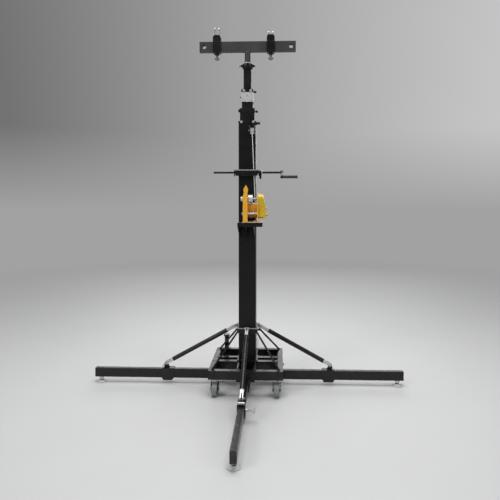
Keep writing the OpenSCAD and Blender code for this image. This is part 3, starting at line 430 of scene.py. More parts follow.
# rope of six strands: radius = R (0.8 + 0.2 |cos 3 (a - 2 pi s / lay)|) along the path
def strandRope(path, d, lay=0.028, around=24):
    path = np.array(path, float)
    s = np.concatenate([[0], np.cumsum(np.linalg.norm(np.diff(path, axis=0), axis=1))])
    a = np.linspace(0, 2 * math.pi, around, endpoint=False)
    r = d / 2 * (0.8 + 0.2 * np.abs(np.cos(3 * (a[None] - 2 * math.pi * s[:, None] / lay))))
    return sweep(path, r, around)


def straight(a, b, step):
    a, b = np.array(a, float), np.array(b, float)
    n = max(2, int(np.linalg.norm(b - a) / step))
    return a + (b - a) * np.linspace(0, 1, n)[:, None]


# ring with teeth: radius = root + (tip - root) x clipped cosine of (teeth x angle)
def toothed(x0, x1, centre, tip, root, teeth, hole):
    a = np.linspace(0, 2 * math.pi, teeth * 10, endpoint=False)
    r = root + (tip - root) * np.clip(0.5 + 1.1 * np.cos(teeth * a), 0, 1)
    bevel = 0.0008
    rings = [(hole, x0), (r - bevel, x0), (r, x0 + bevel), (r, x1 - bevel), (r - bevel, x1), (hole, x1)]
    pts = [np.stack([np.full(len(a), x), centre[0] + q * np.cos(a), centre[1] + q * np.sin(a)], -1)
           for q, x in rings]
    return gridShape(np.array(pts), closeRows=True)


def merged(bm):
    bmesh.ops.remove_doubles(bm, verts=bm.verts, dist=2e-6)
    bmesh.ops.dissolve_degenerate(bm, edges=bm.edges, dist=1e-7)
    bmesh.ops.recalc_face_normals(bm, faces=bm.faces)


def islands(bm):
    bm.verts.ensure_lookup_table()
    seen, found = set(), []
    for start in bm.verts:
        if start.index in seen:
            continue
        stack, group = [start], []
        seen.add(start.index)
        while stack:
            v = stack.pop()
            group.append(v)
            for e in v.link_edges:
                w = e.other_vert(v)
                if w.index not in seen:
                    seen.add(w.index)
                    stack.append(w)
        found.append(group)
    return found


# the separate solids of a CAD node, copied, merged and cleared of flat edges
def solids(node):
    bm = bmesh.new()
    bm.from_mesh(frame["nodes"][node].data)
    bmesh.ops.remove_doubles(bm, verts=bm.verts, dist=2e-6)
    bmesh.ops.recalc_face_normals(bm, faces=bm.faces)
    bmesh.ops.dissolve_limit(bm, angle_limit=math.radians(1.5), verts=bm.verts, edges=bm.edges)
    found = []
    for group in islands(bm):
        index = {v: i for i, v in enumerate(group)}
        pts = np.array([v.co[:] for v in group])
        faces = [[index[v] for v in f.verts] for f in {f for v in group for f in v.link_faces}]
        found.append((pts, faces))
    bm.free()
    return found


def size(shape):
    return shape[0].max(0) - shape[0].min(0)


def middle(shape):
    return (shape[0].max(0) + shape[0].min(0)) / 2


# puts (shape, finish) pairs into one piece that rides on a body
def makePiece(name, body, parts, replaces=(), bevel=0.0008, segments=2, sharp=35):
    finishNames = list(dict.fromkeys(f for _, f in parts))
    points, faces, marks, base = [], [], [], 0
    for (pts, fs), finish in parts:
        points.append(pts)
        faces += [[i + base for i in f] for f in fs]
        marks += [finishNames.index(finish)] * len(fs)
        base += len(pts)
    mesh = bpy.data.meshes.new(name)
    mesh.from_pydata(np.concatenate(points).tolist(), [], faces)
    mesh.polygons.foreach_set("material_index", marks)
    for f in finishNames:
        mesh.materials.append(finishes[f])
    bm = bmesh.new()
    bm.from_mesh(mesh)
    merged(bm)
    bm.to_mesh(mesh)
    bm.free()
    mesh.polygons.foreach_set("use_smooth", [True] * len(mesh.polygons))
    piece = bpy.data.objects.new(name, mesh)
    bpy.context.scene.collection.objects.link(piece)
    if bevel:
        mod = piece.modifiers.new("edges", "BEVEL")
        mod.width, mod.segments, mod.limit_method = bevel, segments, "ANGLE"
        mod.angle_limit, mod.harden_normals = math.radians(sharp), True
    weighted = piece.modifiers.new("shading", "WEIGHTED_NORMAL")
    weighted.keep_sharp = False
    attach(piece, body)
    if replaces:
        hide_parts(*replaces)
    return piece


# a shape drawn towards +X is turned or mirrored towards one side of the stand
def toward(side, shape):
    dx, dy = sides[side]
    turn = np.array([[dx, -dy, 0], [dy, dx, 0], [0, 0, 1]], float)
    if side == "left":
        turn = np.diag([-1.0, 1, 1])
    return shape[0] @ turn.T, shape[1]


# CAD solids with the finish that a test picks for each
def dressed(node, pick):
    return [(s, pick(s)) for s in solids(node) if pick(s)]


bodyOf = {n: body for body, nodes in frame["record"]["behaviour"]["bodies"].items() for n in nodes}


def finish(node, parts, bevel=0.0008, segments=2, sharp=35):
    return makePiece("look_" + node, bodyOf[node], parts, (node,), bevel, segments, sharp)


# flat outline given a thickness: the outline's two numbers are the other two axes in order
def plate(outline, axis, low, high):
    outline = np.array(outline, float)
    turns = {0: [2, 0, 1], 1: [1, 2, 0], 2: [0, 1, 2]}[axis]
    if axis == 1:
        outline = outline[::-1, ::-1]
    rings = [np.column_stack([outline, np.full(len(outline), v)])[:, turns] for v in (low, high)]
    return gridShape(np.array(rings), caps=True)


def boltHead(at, direction, width, height):
    d = np.array(direction, float)
    return [(washer(at, direction, width * 1.75, width * 0.6, 0.0014), "zinc"),
            (hexNut(np.array(at) + d * 0.0014, direction, width, height), "zinc")]


def nutOnStud(at, direction, width, height, stick):
    d, at = np.array(direction, float), np.array(at, float)
    return boltHead(at, direction, width, height)[:1] + [
        (hexNut(at + d * 0.0014, direction, width, height, width * 0.55), "zinc"),
        (threaded(at, at + d * (height + stick), width * 0.6, 0.00125), "bareSteel")]


def loopAround(low, high, axis, value, out=0.0004):
    a, b = [k for k in range(3) if k != axis]
    pts = np.zeros((4, 3))
    pts[:, axis] = value
    pts[:, a] = [low[a] - out, high[a] + out, high[a] + out, low[a] - out]
    pts[:, b] = [low[b] - out, low[b] - out, high[b] + out, high[b] + out]
    return weldBead(pts, closed=True)


# base

frameLook = {"bevel": 0.0022, "studStick": 0.004}
parts = []
for s in solids("base_frame"):
    low, high = s[0].min(0), s[0].max(0)
    parts.append((s, "framePaint"))
    w, d, h = size(s)
    if h > 0.045 and high[0] < 0.178 and w > 0.3:
        parts += [(loopAround(low, high, 0, x), "framePaint") for x in (low[0], high[0])]
    if h > 0.045 and w < 0.01:
        parts += [(loopAround(low, high, 1, y), "framePaint") for y in (low[1], high[1])]
finish("base_frame", parts, frameLook["bevel"], 3, 50)

parts = []
for s in solids("fixing_bolts"):
    c, (w, d, h) = middle(s), size(s)
    low, high = s[0].min(0), s[0].max(0)
    if w > 0.3:
        parts.append((pin((low[0] + 0.001, c[1], c[2]), (high[0] - 0.001, c[1], c[2]), d, 0.0015),
                      "bareSteel"))
        for sx in (-1, 1):
            parts += nutOnStud((sx * (high[0] - 0.0075), c[1], c[2]), (sx, 0, 0), 0.021, 0.006, 0.0)[:2]
    elif low[2] < 0.2:
        parts += boltHead((c[0], c[1], low[2] + 0.005), (0, 0, -1), 0.0125, 0.0045)
        parts.append((pin((c[0], c[1], low[2] + 0.0045), (c[0], c[1], high[2]), 0.008), "bareSteel"))
    elif low[2] > 1.2:
        parts += boltHead((c[0], high[1], c[2]), (0, -1, 0), 0.0088, 0.0045)
    else:
        parts += nutOnStud((c[0], c[1], low[2]), Z, 0.0125, 0.0055, frameLook["studStick"])
finish("fixing_bolts", parts, 0.0003, 1)

finish("caster_plates", dressed("caster_plates", lambda s: "zinc"), 0.0009)

collarLook = {"edge": 0.0009}


def collarFinish(s):
    return "stripPaint" if size(s)[2] < 0.004 else "framePaint"


parts = dressed("mast_collar", collarFinish)
finish("mast_collar", parts, collarLook["edge"])


# casters

casterLook = {"race": 0.0228, "tread": 0.0375, "shoulder": 0.0045, "hub": 0.0286}
for key, (sx, sy) in corners.items():
    at = joints["caster_%s_swivel" % key]["pos_m"]
    axle = joints["wheel_%s_roll" % key]["pos_m"]
    parts = []
    for s in solids("fork_" + key):
        w, d, h = size(s)
        if w > 0.05:
            low, high = s[0].min(0)[0], s[0].max(0)[0]
            parts.append((pin((low + 0.003, axle[1], axle[2]), (high - 0.003, axle[1], axle[2]), 0.008),
                          "bareSteel"))
            parts.append((hexNut((low, axle[1], axle[2]), X, 0.0135, 0.0048), "zinc"))
            parts.append((hexNut((high - 0.0048, axle[1], axle[2]), X, 0.0135, 0.0048), "zinc"))
        elif h > 0.01 and abs(w - d) < 0.001:
            r, z = casterLook["race"], s[0].min(0)[2]
            parts.append((placed(lathe([(0.004, z), (r - 0.0015, z), (r, z + 0.0015), (r, z + 0.0026),
                                        (r - 0.002, z + 0.0031), (r - 0.0004, z + 0.0036),
                                        (r - 0.0008, z + 0.0046),
                                        (r - 0.004, z + 0.005), (0.005, z + 0.005), (0.005, z + 0.0108),
                                        (0, z + 0.0108)],
                                       56), (at[0], at[1], 0)), "zinc"))
        else:
            parts.append((s, "framePaint"))
    finish("fork_" + key, parts, 0.0009)
    r, q, g = casterLook["tread"], casterLook["shoulder"], casterLook["hub"]
    turn = np.linspace(0, math.pi / 2, 6)
    outer = [(r - q + q * math.sin(t), q - q * math.cos(t)) for t in turn]
    outer = [(g, 0.0012)] + outer + [(r, 0.0142), (r - 0.0006, 0.0148), (r - 0.0006, 0.0152), (r, 0.0158)]
    tyre = outer + [(p, 0.03 - h) for p, h in outer[::-1][4:]] + [(g, 0.0012)]
    hub = [(0.0041, -0.002), (0.0095, -0.002), (0.0105, 0.0012), (0.0125, 0.0048), (0.0235, 0.0052),
           (0.0265, 0.0012), (g, 0.0006)]
    hub = hub + [(p, 0.03 - h) for p, h in hub[::-1]] + [(0.0041, -0.002)]
    start = (axle[0] - 0.015, axle[1], axle[2])
    finish("wheel_" + key, [(placed(lathe(tyre, 72), start, X), "tyreRubber"),
                            (placed(lathe(hub, 56), start, X), "hubPlastic")], 0)
print("base and casters done")


# legs, feet, braces, collars

legLook = {"width": 0.030, "height": 0.054, "wall": 0.003, "corner": 0.0042, "from": 0.072, "to": 0.911,
           "low": 0.0323, "jack": 0.879}
braceLook = {"upper": (0.072, 0.346), "lower": (0.488, 0.1173), "dia": 0.025, "fromUpper": 0.057,
             "fromLower": 0.048}


def legShape(look):
    pts, faces = squareTube(look["width"], look["height"], look["wall"], look["corner"], look["from"],
                            look["to"])
    pts = pts[:, [2, 0, 1]] + np.array([0, 0, look["low"] + look["height"] / 2])
    return pts, faces


def jackParts(look):
    x = look["jack"]
    dish = [(0, 0.0), (0.0268, 0.0), (0.0292, 0.0006), (0.03, 0.0022), (0.0294, 0.004), (0.0272, 0.0047),
            (0.0225, 0.0046), (0.0195, 0.006), (0.0165, 0.0095), (0.0125, 0.0115), (0.0, 0.0118)]
    neck = [(0, 0.0105), (0.0098, 0.0105), (0.0102, 0.0125), (0.0085, 0.0148), (0.0, 0.015)]
    return [(placed(lathe(dish, 64), (x, 0, 0)), "whitePaint"),
            (placed(lathe(neck, 32), (x, 0, 0)), "plugPlastic"),
            (threaded((x, 0, 0.0145), (x, 0, 0.0743), 0.014, 0.0025), "zinc")]


def screwParts():
    y, z = 0.490, 0.060
    bar = placed(lathe([(0, 0), (0.003, 0.0002), (0.0045, 0.0018), (0.0042, 0.008), (0.0032, 0.016),
                        (0.0032, 0.037),
                        (0.0042, 0.045), (0.0045, 0.0512), (0.003, 0.0528), (0, 0.053)], 28),
                 (y - 0.0265, 0.0628, z), X)
    return [(threaded((y, 0.0153, z), (y, 0.05, z), 0.008, 0.00125), "zinc"),
            (pin((y, 0.0495, z), (y, 0.0588, z), 0.0078), "zinc"), (bar, "zinc")]


def braceParts(side, look):
    (x1, z1), (x2, z2) = look["upper"], look["lower"]
    a, b = np.array([x1, 0, z1]), np.array([x2, 0, z2])
    u = (b - a) / np.linalg.norm(b - a)
    start, end = a + u * look["fromUpper"], b - u * look["fromLower"]
    out = [(pin(start, end, look["dia"], 0.001, 48), "framePaint")]
    r = look["dia"] / 2
    ring = [(0, -0.001), (r * 0.8, -0.001), (r * 0.97, 0.0002), (r * 0.97, 0.0028), (r * 0.8, 0.0042),
            (0, 0.0042)]
    out += [(placed(lathe(ring, 40), p, d), "zinc") for p, d in ((start, -u), (end, u))]
    for x, z in (look["upper"], look["lower"]):
        out += [(placed(lathe([(0, 0.0), (0.0055, 0), (0.0062, 0.0006), (0.0058, 0.002), (0.003, 0.0027),
                               (0, 0.0028)],
                              28), (x, s * 0.0122, z), (0, s, 0)), "bareSteel") for s in (-1, 1)]
    return out


for side in sides:
    out = [(legShape(legLook), "legPaint"),
           (softBox((0.9105, -0.0147, 0.0326), (0.914, 0.0147, 0.086), 0.0016), "plugPlastic"),
           (softBox((0.9125, -0.0058, 0.044), (0.9147, 0.0058, 0.0745), 0.0009), "gripRubber"),
           (placed(lathe([(0.0071, 0.0243), (0.0138, 0.0243), (0.015, 0.0255), (0.015, 0.0322),
                          (0.0071, 0.0322),
                          (0.0071, 0.0243)], 40, 6, 0.0265), (legLook["jack"], 0, 0)), "zinc")]
    finish("leg_" + side, [(toward(side, s), f) for s, f in out], 0)
    out = jackParts(legLook) + [(hexNut((legLook["jack"], 0, 0.0168), Z, 0.0215, 0.0065, 0.012), "zinc")]
    finish("foot_" + side, [(toward(side, s), f) for s, f in out], 0)
    finish("screw_" + side, [(toward(side, s), f) for s, f in screwParts()], 0)
    forks = [s for s in solids("brace_" + side) if max(size(s)) < 0.1]
    finish("brace_" + side, [(s, "zinc") for s in forks] +
           [(toward(side, s), f) for s, f in braceParts(side, braceLook)], 0.0007)
    parts = []
    for s in solids("collar_" + side):
        w, d, h = size(s)
        boss = max(w, d, h) < 0.02
        parts.append((s, "zinc" if boss else "legPaint"))
    barrel = [(pin((0.503, -0.0172, 0.0985), (0.503, 0.0172, 0.0985), 0.0135, 0.0012), "zinc")]
    parts += [(toward(side, s), f) for s, f in barrel]
    finish("collar_" + side, parts, 0.0009)
print("legs done")


# mast

mastLook = {"outer": (0.100, 0.0045), "second": (0.085, 0.004), "third": (0.064, 0.0035),
            "fourth": (0.045, 0.003),
            "wall": 0.003}


def mastParts(node, look, wall, picks):
    out = []
    for s in solids(node):
        low, high = s[0].min(0), s[0].max(0)
        if high[2] - low[2] > 0.9:
            w, r = look
            out.append((squareTube(w, w, wall, r, low[2], high[2]), "blackPaint"))
        else:
            out.append((s, picks(s)))
    return out


foot = mastParts("mast_outer", mastLook["outer"], mastLook["wall"], lambda s: "framePaint")
foot.append((loopAround((-0.05, -0.05, 0), (0.05, 0.05, 0), 2, 0.1545), "framePaint"))
finish("mast_outer", foot, 0.0009)
finish("mast_head", dressed("mast_head", lambda s: "blackPaint"), 0.0012)
finish("mast_2", mastParts("mast_2", mastLook["second"], mastLook["wall"], lambda s: "blackPaint"), 0.001)
finish("mast_3", mastParts("mast_3", mastLook["third"], mastLook["wall"], lambda s: "blackPaint"), 0.001)
finish("mast_4", mastParts("mast_4", mastLook["fourth"], mastLook["wall"], lambda s: "blackPaint"), 0.001)

parts = []
for s in solids("mast_3_head"):
    c, (w, d, h) = middle(s), size(s)
    low, high = s[0].min(0), s[0].max(0)
    if d < 0.006 and c[1] < -0.03:
        parts += boltHead((c[0], high[1], c[2]), (0, -1, 0), 0.0088, 0.0042)
    elif w < 0.02:
        parts.append((placed(lathe([(0, 0), (0.003, 0), (0.003, 0.0075), (0.0046, 0.008), (0.0046, 0.0105),
                                    (0, 0.011)], 28),
                             (high[0], c[1], c[2]), (-1, 0, 0)), "plugPlastic"))
    else:
        parts.append((s, "whitePaint" if h > 0.03 else "blackPaint"))
for z, x in ((1.675, -0.018), (1.675, 0.02), (1.702, 0.0)):
    parts += boltHead((x, -0.035, z), (0, -1, 0), 0.006, 0.0022)
finish("mast_3_head", parts, 0.001)

parts = []
for s in solids("spigot_collar"):
    c, (w, d, h) = middle(s), size(s)
    low, high = s[0].min(0), s[0].max(0)
    sx = 1 if c[0] > 0 else -1
    if w < 0.005:
        parts.append((softBox(low, high, 0.0019), "castZinc"))
    elif d < 0.007:
        parts.append((threaded((sx * min(abs(low[0]), abs(high[0])), c[1], c[2]),
                               (sx * max(abs(low[0]), abs(high[0])), c[1], c[2]), 0.006, 0.001),
                      "castZinc"))
    else:
        parts.append((s, "blackPaint"))
finish("spigot_collar", parts, 0.001)

knobLook = {"1": (0.0080, 0.012), "2": (0.0070, 0.011), "3": (0.0070, 0.011)}
for key, (r, grip) in knobLook.items():
    low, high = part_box("lock_knob_" + key)
    z, length = (low.z + high.z) / 2, high.x - low.x
    h0 = length - grip - 0.005
    stem = [(0, 0), (0.0033, 0), (0.004, 0.001), (0.004, h0), (0, h0)]
    a = np.linspace(0, 2 * math.pi, 96, endpoint=False)
    prof = np.array([(0.0001, h0), (r * 0.72, h0), (r * 0.72, h0 + 0.003), (r * 0.95, h0 + 0.0045),
                     (r, h0 + 0.006),
                     (r, length - 0.002), (r * 0.86, length - 0.0004), (r * 0.6, length), (0.0001, length)])
    ribs = 1 - 0.035 * (np.cos(16 * a) > 0.2)
    rr = prof[:, :1] * np.where(np.isin(np.arange(len(prof)), (4, 5))[:, None], ribs[None], 1)
    knob = gridShape(np.stack([rr * np.cos(a), rr * np.sin(a), np.repeat(prof[:, 1:], len(a), 1)], -1))
    finish("lock_knob_" + key, [(placed(lathe(stem, 32), (low.x, 0, z), X), "paleZinc"),
                                (placed(knob, (low.x, 0, z), X), "plugPlastic")], 0)
print("mast done")


# rope and sheave

ropeLook = {"dia": 0.004, "shown": 0.0046, "lay": 0.026, "top": (0.031, -0.0851, 1.490),
            "foot": (0.049, -0.0787, 1.045)}
top, foot = np.array(ropeLook["top"]), np.array(ropeLook["foot"])
finish("wire_rope", [(strandRope(straight(foot, top, 0.002), ropeLook["shown"], ropeLook["lay"], 30),
                      "wire")], 0)

# the run inside the mast ends on the second section, so it shortens towards the wheel as that rises
low, high = (np.array(v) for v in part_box("rope_inner"))
foot, top = np.array([*(low + high)[:2] / 2, low[2]]), np.array([*(low + high)[:2] / 2, high[2]])
innerRope = finish("rope_inner", [(strandRope(straight(foot, top, 0.004), ropeLook["dia"], ropeLook["lay"]),
                                   "wire")], 0)
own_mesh(innerRope)

sheaveLook = {"rim": 0.02165, "groove": 0.0178, "width": 0.024}
sx, sy, sz = joints["sheave_spin"]["pos_m"]
r, g, w = sheaveLook["rim"], sheaveLook["groove"], sheaveLook["width"]
pulley = [(0.0041, 0), (0.0085, 0), (0.0092, 0.0012), (0.0165, 0.0015), (0.018, 0.0002), (r - 0.0012, 0),
          (r, 0.0012),
          (r, w / 2 - 0.005), (r - 0.0005, w / 2 - 0.0044), (g + 0.0006, w / 2 - 0.0024),
          (g, w / 2 - 0.0012), (g, w / 2)]
pulley = pulley + [(p, w - h) for p, h in pulley[::-1]] + [(0.0041, 0)]
finish("sheave", [(placed(lathe(pulley, 72), (sx - w / 2, sy, sz), X), "whitePaint")], 0)

parts = []
for s in solids("sheave_cover"):
    c, (w, d, h) = middle(s), size(s)
    low, high = s[0].min(0), s[0].max(0)
    if w > 0.035:
        parts.append((pin((low[0] + 0.002, c[1], c[2]), (high[0] - 0.002, c[1], c[2]), 0.008), "bareSteel"))
        parts += [(hexNut((low[0], c[1], c[2]), X, 0.013, 0.0038), "zinc"),
                  (hexNut((high[0] - 0.0038, c[1], c[2]), X, 0.013, 0.0038), "zinc")]
    else:
        parts.append((s, "blackPaint"))
finish("sheave_cover", parts, 0.0009)


# winch

winchLook = {"edge": 0.0012, "coilPitch": 0.0042, "coilRadius": 0.0319, "brake": 0.023}


def winchFinish(s):
    c, (w, d, h) = middle(s), size(s)
    if w > 0.09 and h < 0.006:
        return "creamPaint"
    if min(d, h) < 0.0115 and w > 0.05:
        return "zinc"
    if c[0] > 0.08:
        return "coverPaint"
    return "guardPaint" if w > 0.05 else "winchPaint"


parts = dressed("winch_frame", winchFinish)
dy, dz = joints["winch_drum_spin"]["pos_m"][1:]
fy, fz = joints["drive_shaft_spin"]["pos_m"][1:]
for y, z in ((dy + 0.03, dz + 0.012), (dy - 0.046, dz + 0.004), (dy + 0.02, dz - 0.04)):
    parts += boltHead((0.111, y, z), X, 0.009, 0.004)
for y, z in ((-0.070, 1.005), (-0.174, 1.015)):
    parts += boltHead((-0.015, y, z), (-1, 0, 0), 0.0125, 0.0055)
parts += boltHead((0.0275, dy - 0.0525 * math.cos(0.95), dz - 0.0525 * math.sin(0.95)),
                  (0, -math.cos(0.95), -math.sin(0.95)), 0.01, 0.0045)
finish("winch_frame", parts, winchLook["edge"], 3)

x0, x1 = -0.0107, 0.0647
lip = 0.0009
rim = [(0.0071, 0), (0.048 - lip, 0), (0.048, lip), (0.048, 0.003 - lip), (0.048 - lip, 0.003),
       (0.0071, 0.003)]
turns = (x1 - x0 - 0.0085) / winchLook["coilPitch"]
t = np.linspace(0, 1, int(turns * 44))
angle = math.pi + 2 * math.pi * turns * t
x = x0 + 0.0052 + (x1 - x0 - 0.0104) * t
coil = np.stack([x, dy + winchLook["coilRadius"] * np.cos(angle),
                 dz + winchLook["coilRadius"] * np.sin(angle)], 1)
parts = [(pin((-0.021, dy, dz), (0.1025, dy, dz), 0.014, 0.0012, 40), "bareSteel"),
         (placed(lathe(rim, 80), (x0, dy, dz), X), "zinc"),
         (placed(lathe(rim, 80), (x1 - 0.003, dy, dz), X), "zinc"),
         (pin((x0 + 0.002, dy, dz), (x1 - 0.002, dy, dz), 0.0605, 0.0005, 56), "bareSteel"),
         (strandRope(coil, ropeLook["dia"] * 1.02, ropeLook["lay"], 14), "wire"),
         (toothed(0.075, 0.089, (dy, dz), 0.0479, 0.043, 36, 0.0068), "bareSteel"),
         (placed(lathe([(0.0069, 0), (0.016, 0), (0.017, 0.001), (0.017, 0.0215), (0.0069, 0.0215)], 40),
                 (0.0715, dy, dz), X),
          "bareSteel")]
finish("winch_drum", parts, 0)

brake = winchLook["brake"]
drum = [(0.0069, 0), (brake - 0.004, 0), (brake - 0.002, 0.0012), (brake, 0.0018), (brake, 0.0075),
        (brake - 0.0012, 0.0082),
        (brake - 0.0012, 0.0185), (brake, 0.0192), (brake, 0.0242), (brake - 0.002, 0.0252),
        (brake - 0.004, 0.026),
        (0.0069, 0.026)]
parts = [(pin((-0.0275, fy, fz), (0.093, fy, fz), 0.014, 0.0012, 40), "bareSteel"),
         (placed(lathe(drum, 64), (0.012, fy, fz), X), "paleZinc"),
         (placed(lathe([(0.0069, 0), (0.0105, 0), (0.012, 0.001), (0.012, 0.0235), (0.0069, 0.0235)], 40),
                 (-0.0107, fy, fz), X),
          "bareSteel"),
         (toothed(0.0741, 0.0899, (fy, fz), 0.0166, 0.0121, 11, 0.0068), "bareSteel"),
         (hexNut((-0.0291, fy, fz), X, 0.0217, 0.0137), "paleZinc")]
finish("drive_shaft", parts, 0)

py, pz = joints["winch_pawl_pivot"]["pos_m"][1:]
aim = np.array([dy - py, dz - pz])
reach, aim = np.linalg.norm(aim) - 0.0492, aim / np.linalg.norm(aim)
cross = np.array([-aim[1], aim[0]])
nose = [np.array([py, pz]) + aim * u + cross * v for u, v in
        ((-0.003, -0.007), (reach, -0.0025), (reach, 0.0025), (-0.003, 0.007))]
lever = [(py - 0.007, pz - 0.006), (py + 0.007, pz - 0.006), (py + 0.0068, pz + 0.004),
         (py + 0.005, pz + 0.018),
         (py - 0.005, pz + 0.018), (py - 0.0068, pz + 0.004)]
parts = [(pin((0.0622, py, pz), (0.129, py, pz), 0.01, 0.001), "bareSteel"),
         (plate(nose, 0, 0.0752, 0.0888), "bareSteel"),
         (plate(lever, 0, 0.122, 0.128), "winchPaint")]
finish("winch_pawl", parts, 0.0012)

shelf = dressed("winch_shelf", lambda s: "blackPaint")
for x in (-0.0405, 0.0045, 0.0405):
    shelf.append((weldBead([(x, -0.185, 0.9606), (x, -0.0505, 0.9606), (x, -0.0505, 0.88)]), "blackPaint"))
finish("winch_shelf", shelf, 0.0009)
print("winch done")


# crank and its holder

crankLook = {"rod": 0.012, "knuckle": 0.011, "gripRibs": 14}
cx0, cx1, cy, cz = -0.192, 0.200, -0.070, 1.248
_, gy, gz = joints["crank_grip_spin"]["pos_m"]
rod = crankLook["rod"]
k = crankLook["knuckle"]
ball = [(0, 0), (k - 0.002, 0), (k, 0.002), (k, 0.014), (k - 0.002, 0.016), (0, 0.016)]
eye = [(0, 0), (0.0075, 0), (0.009, 0.0015), (0.009, 0.0125), (0.0075, 0.014), (0, 0.014)]
parts = [(pin((cx0, cy, cz), (cx1, cy, cz), rod, 0.0018, 40), "blackPaint"),
         (placed(lathe(ball, 44), (cx1 - 0.008, cy, cz), X), "blackPaint"),
         (pin((cx1, cy - 0.006, cz - 0.0012), (cx1, gy + 0.004, gz), rod, 0.001, 40), "blackPaint"),
         (placed(lathe(eye, 40), (cx1 - 0.008, gy, gz), X), "blackPaint"),
         (pin((cx1 + 0.005, gy, gz), (cx1 + 0.088, gy, gz), 0.008, 0.001), "bareSteel")]
finish("crank_handle", parts, 0)

length = 0.078
h = np.linspace(0, 1, 90)
base = np.interp(h, [0, 0.05, 0.34, 0.66, 0.95, 1], [0.007, 0.0078, 0.0082, 0.0082, 0.0088, 0.007])
r = base * (1 - 0.035 * (np.sin(h * math.pi * 2 * crankLook["gripRibs"]) > 0.4) * ((h > 0.12) & (h < 0.9)))
profile = [(0.0041, 0)] + list(zip(r, h * length)) + [(0.0041, length), (0.0041, 0)]
finish("crank_grip", [(placed(lathe(profile, 48), (cx1 + 0.0063, gy, gz), X), "gripRubber")], 0)


def holderFinish(s):
    c, (w, d, h) = middle(s), size(s)
    return "stripPaint" if w > 0.1 and h < 0.0065 and d < 0.01 else "blackPaint"


parts = dressed("crank_holder", holderFinish)
ring = [(0.0065, 0), (0.0125, 0), (0.0135, 0.001), (0.0135, 0.003), (0.0125, 0.004), (0.0065, 0.004),
        (0.0065, 0)]
parts.append((placed(lathe(ring, 44), (0.0845, cy, cz), X), "paleZinc"))
finish("crank_holder", parts, 0.001)


# spirit level

levelLook = {"cup": 0.0183, "bubble": 0.0045, "tilt": (0.0012, -0.0008)}
parts = [(s, "framePaint") for s in solids("spirit_level")
         if size(s)[2] > 0.02 or abs(size(s)[0] - size(s)[1]) > 0.01]
vx, vy, vz = -0.1455, 0.1925, 0.2241
c = levelLook["cup"]
cup = [(0, 0), (c - 0.003, 0), (c, 0.003), (c, 0.0115), (c - 0.001, 0.013), (c - 0.0035, 0.013),
       (c - 0.0042, 0.0122),
       (c - 0.0042, 0.0085), (0, 0.0085)]
parts += [(placed(lathe(cup, 56), (vx, vy, vz)), "plugPlastic"),
          (placed(lathe([(0, 0.0086), (c - 0.0043, 0.0086), (c - 0.0043, 0.0112), (0, 0.0118)], 56),
                  (vx, vy, vz)), "vialLiquid"),
          (placed(lathe([(c - 0.012, 0.0121), (c - 0.0108, 0.0121), (c - 0.0108, 0.0117),
                         (c - 0.012, 0.0117),
                         (c - 0.012, 0.0121)], 48), (vx, vy, vz)), "plugPlastic")]
q = np.linspace(0, math.pi / 2, 7)
bubble = [(levelLook["bubble"] * math.cos(t), 0.0118 + 0.0007 * math.sin(t)) for t in q]
tx, ty = levelLook["tilt"]
parts.append((placed(lathe(bubble, 36), (vx + tx, vy + ty, vz)), "whitePaint"))
finish("spirit_level", parts, 0)


# head

headLook = {"edge": 0.0016, "spigot": 0.034}


parts = []
for s in solids("head_bar"):
    w, d, h = size(s)
    low, high = s[0].min(0), s[0].max(0)
    if w > 0.3:
        parts.append((s, "headPaint"))
    elif h > 0.1:
        parts.append((pin((0, 0, low[2]), (0, 0, high[2]), headLook["spigot"], 0.001, 56), "headPaint"))
        seat = headLook["spigot"] / 2
        bead = np.linspace(0, 2 * math.pi, 40, endpoint=False)
        parts.append((weldBead(np.stack([seat * np.cos(bead), 0.0122 * np.sin(bead), np.full(40, high[2])],
                                        1),
                               0.002, closed=True), "headPaint"))
    else:
        r = w / 2
        parts.append((placed(lathe([(seatR, z) for seatR,
                                    z in ((0.0171, 0), (r - 0.0008, 0), (r, 0.0008), (r, h - 0.0008),
                                                                (r - 0.0008, h), (0.0171, h))], 56),
                             (0, 0, low[2])), "zinc"))
finish("head_bar", parts, headLook["edge"], 3)

wing = [(-0.0150, 0.0140), (-0.0138, 0.0060), (-0.0110, 0.0008), (-0.006, 0.0), (0.006, 0.0),
        (0.0110, 0.0008),
        (0.0138, 0.0060), (0.0150, 0.0140), (0.0135, 0.0156), (0.0112, 0.0148), (0.0090, 0.0118),
        (0.0, 0.0092),
        (-0.0090, 0.0118), (-0.0112, 0.0148), (-0.0135, 0.0156)]
for side in ("left", "right"):
    parts = []
    for s in solids("clamp_" + side):
        c = middle(s)
        parts.append((s, "castZinc" if s[0].min(0)[2] > 2.05 else "blackPaint"))
    finish("clamp_" + side, parts, 0.0011)
    low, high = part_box("clamp_screw_" + side)
    x = (low.x + high.x) / 2
    hub = [(0, 0), (0.0085, 0), (0.01, 0.0015), (0.0095, 0.008), (0.008, 0.01), (0, 0.01)]
    parts = [(threaded((x, 0, low.z + 0.009), (x, 0, high.z), 0.012, 0.00175), "darkZinc"),
             (placed(lathe(hub, 40), (x, 0, low.z)), "darkZinc"),
             (plate([(x + u, low.z + v) for u, v in wing], 1, -0.0024, 0.0024), "darkZinc")]
    finish("clamp_screw_" + side, parts, 0.0009)
print("head done")


# floor, backdrop and light

# back is the backdrop's grey; left is its painted shade colour and right its painted light colour
stageLook = {"floor": (0.6, 0.6, 0.6), "back": (0.36, 0.36, 0.36), "left": (0.17, 0.17, 0.17),
             "right": (0.56, 0.56, 0.56),
             "near": 1.2, "far": 6.0, "floorSize": 60.0}


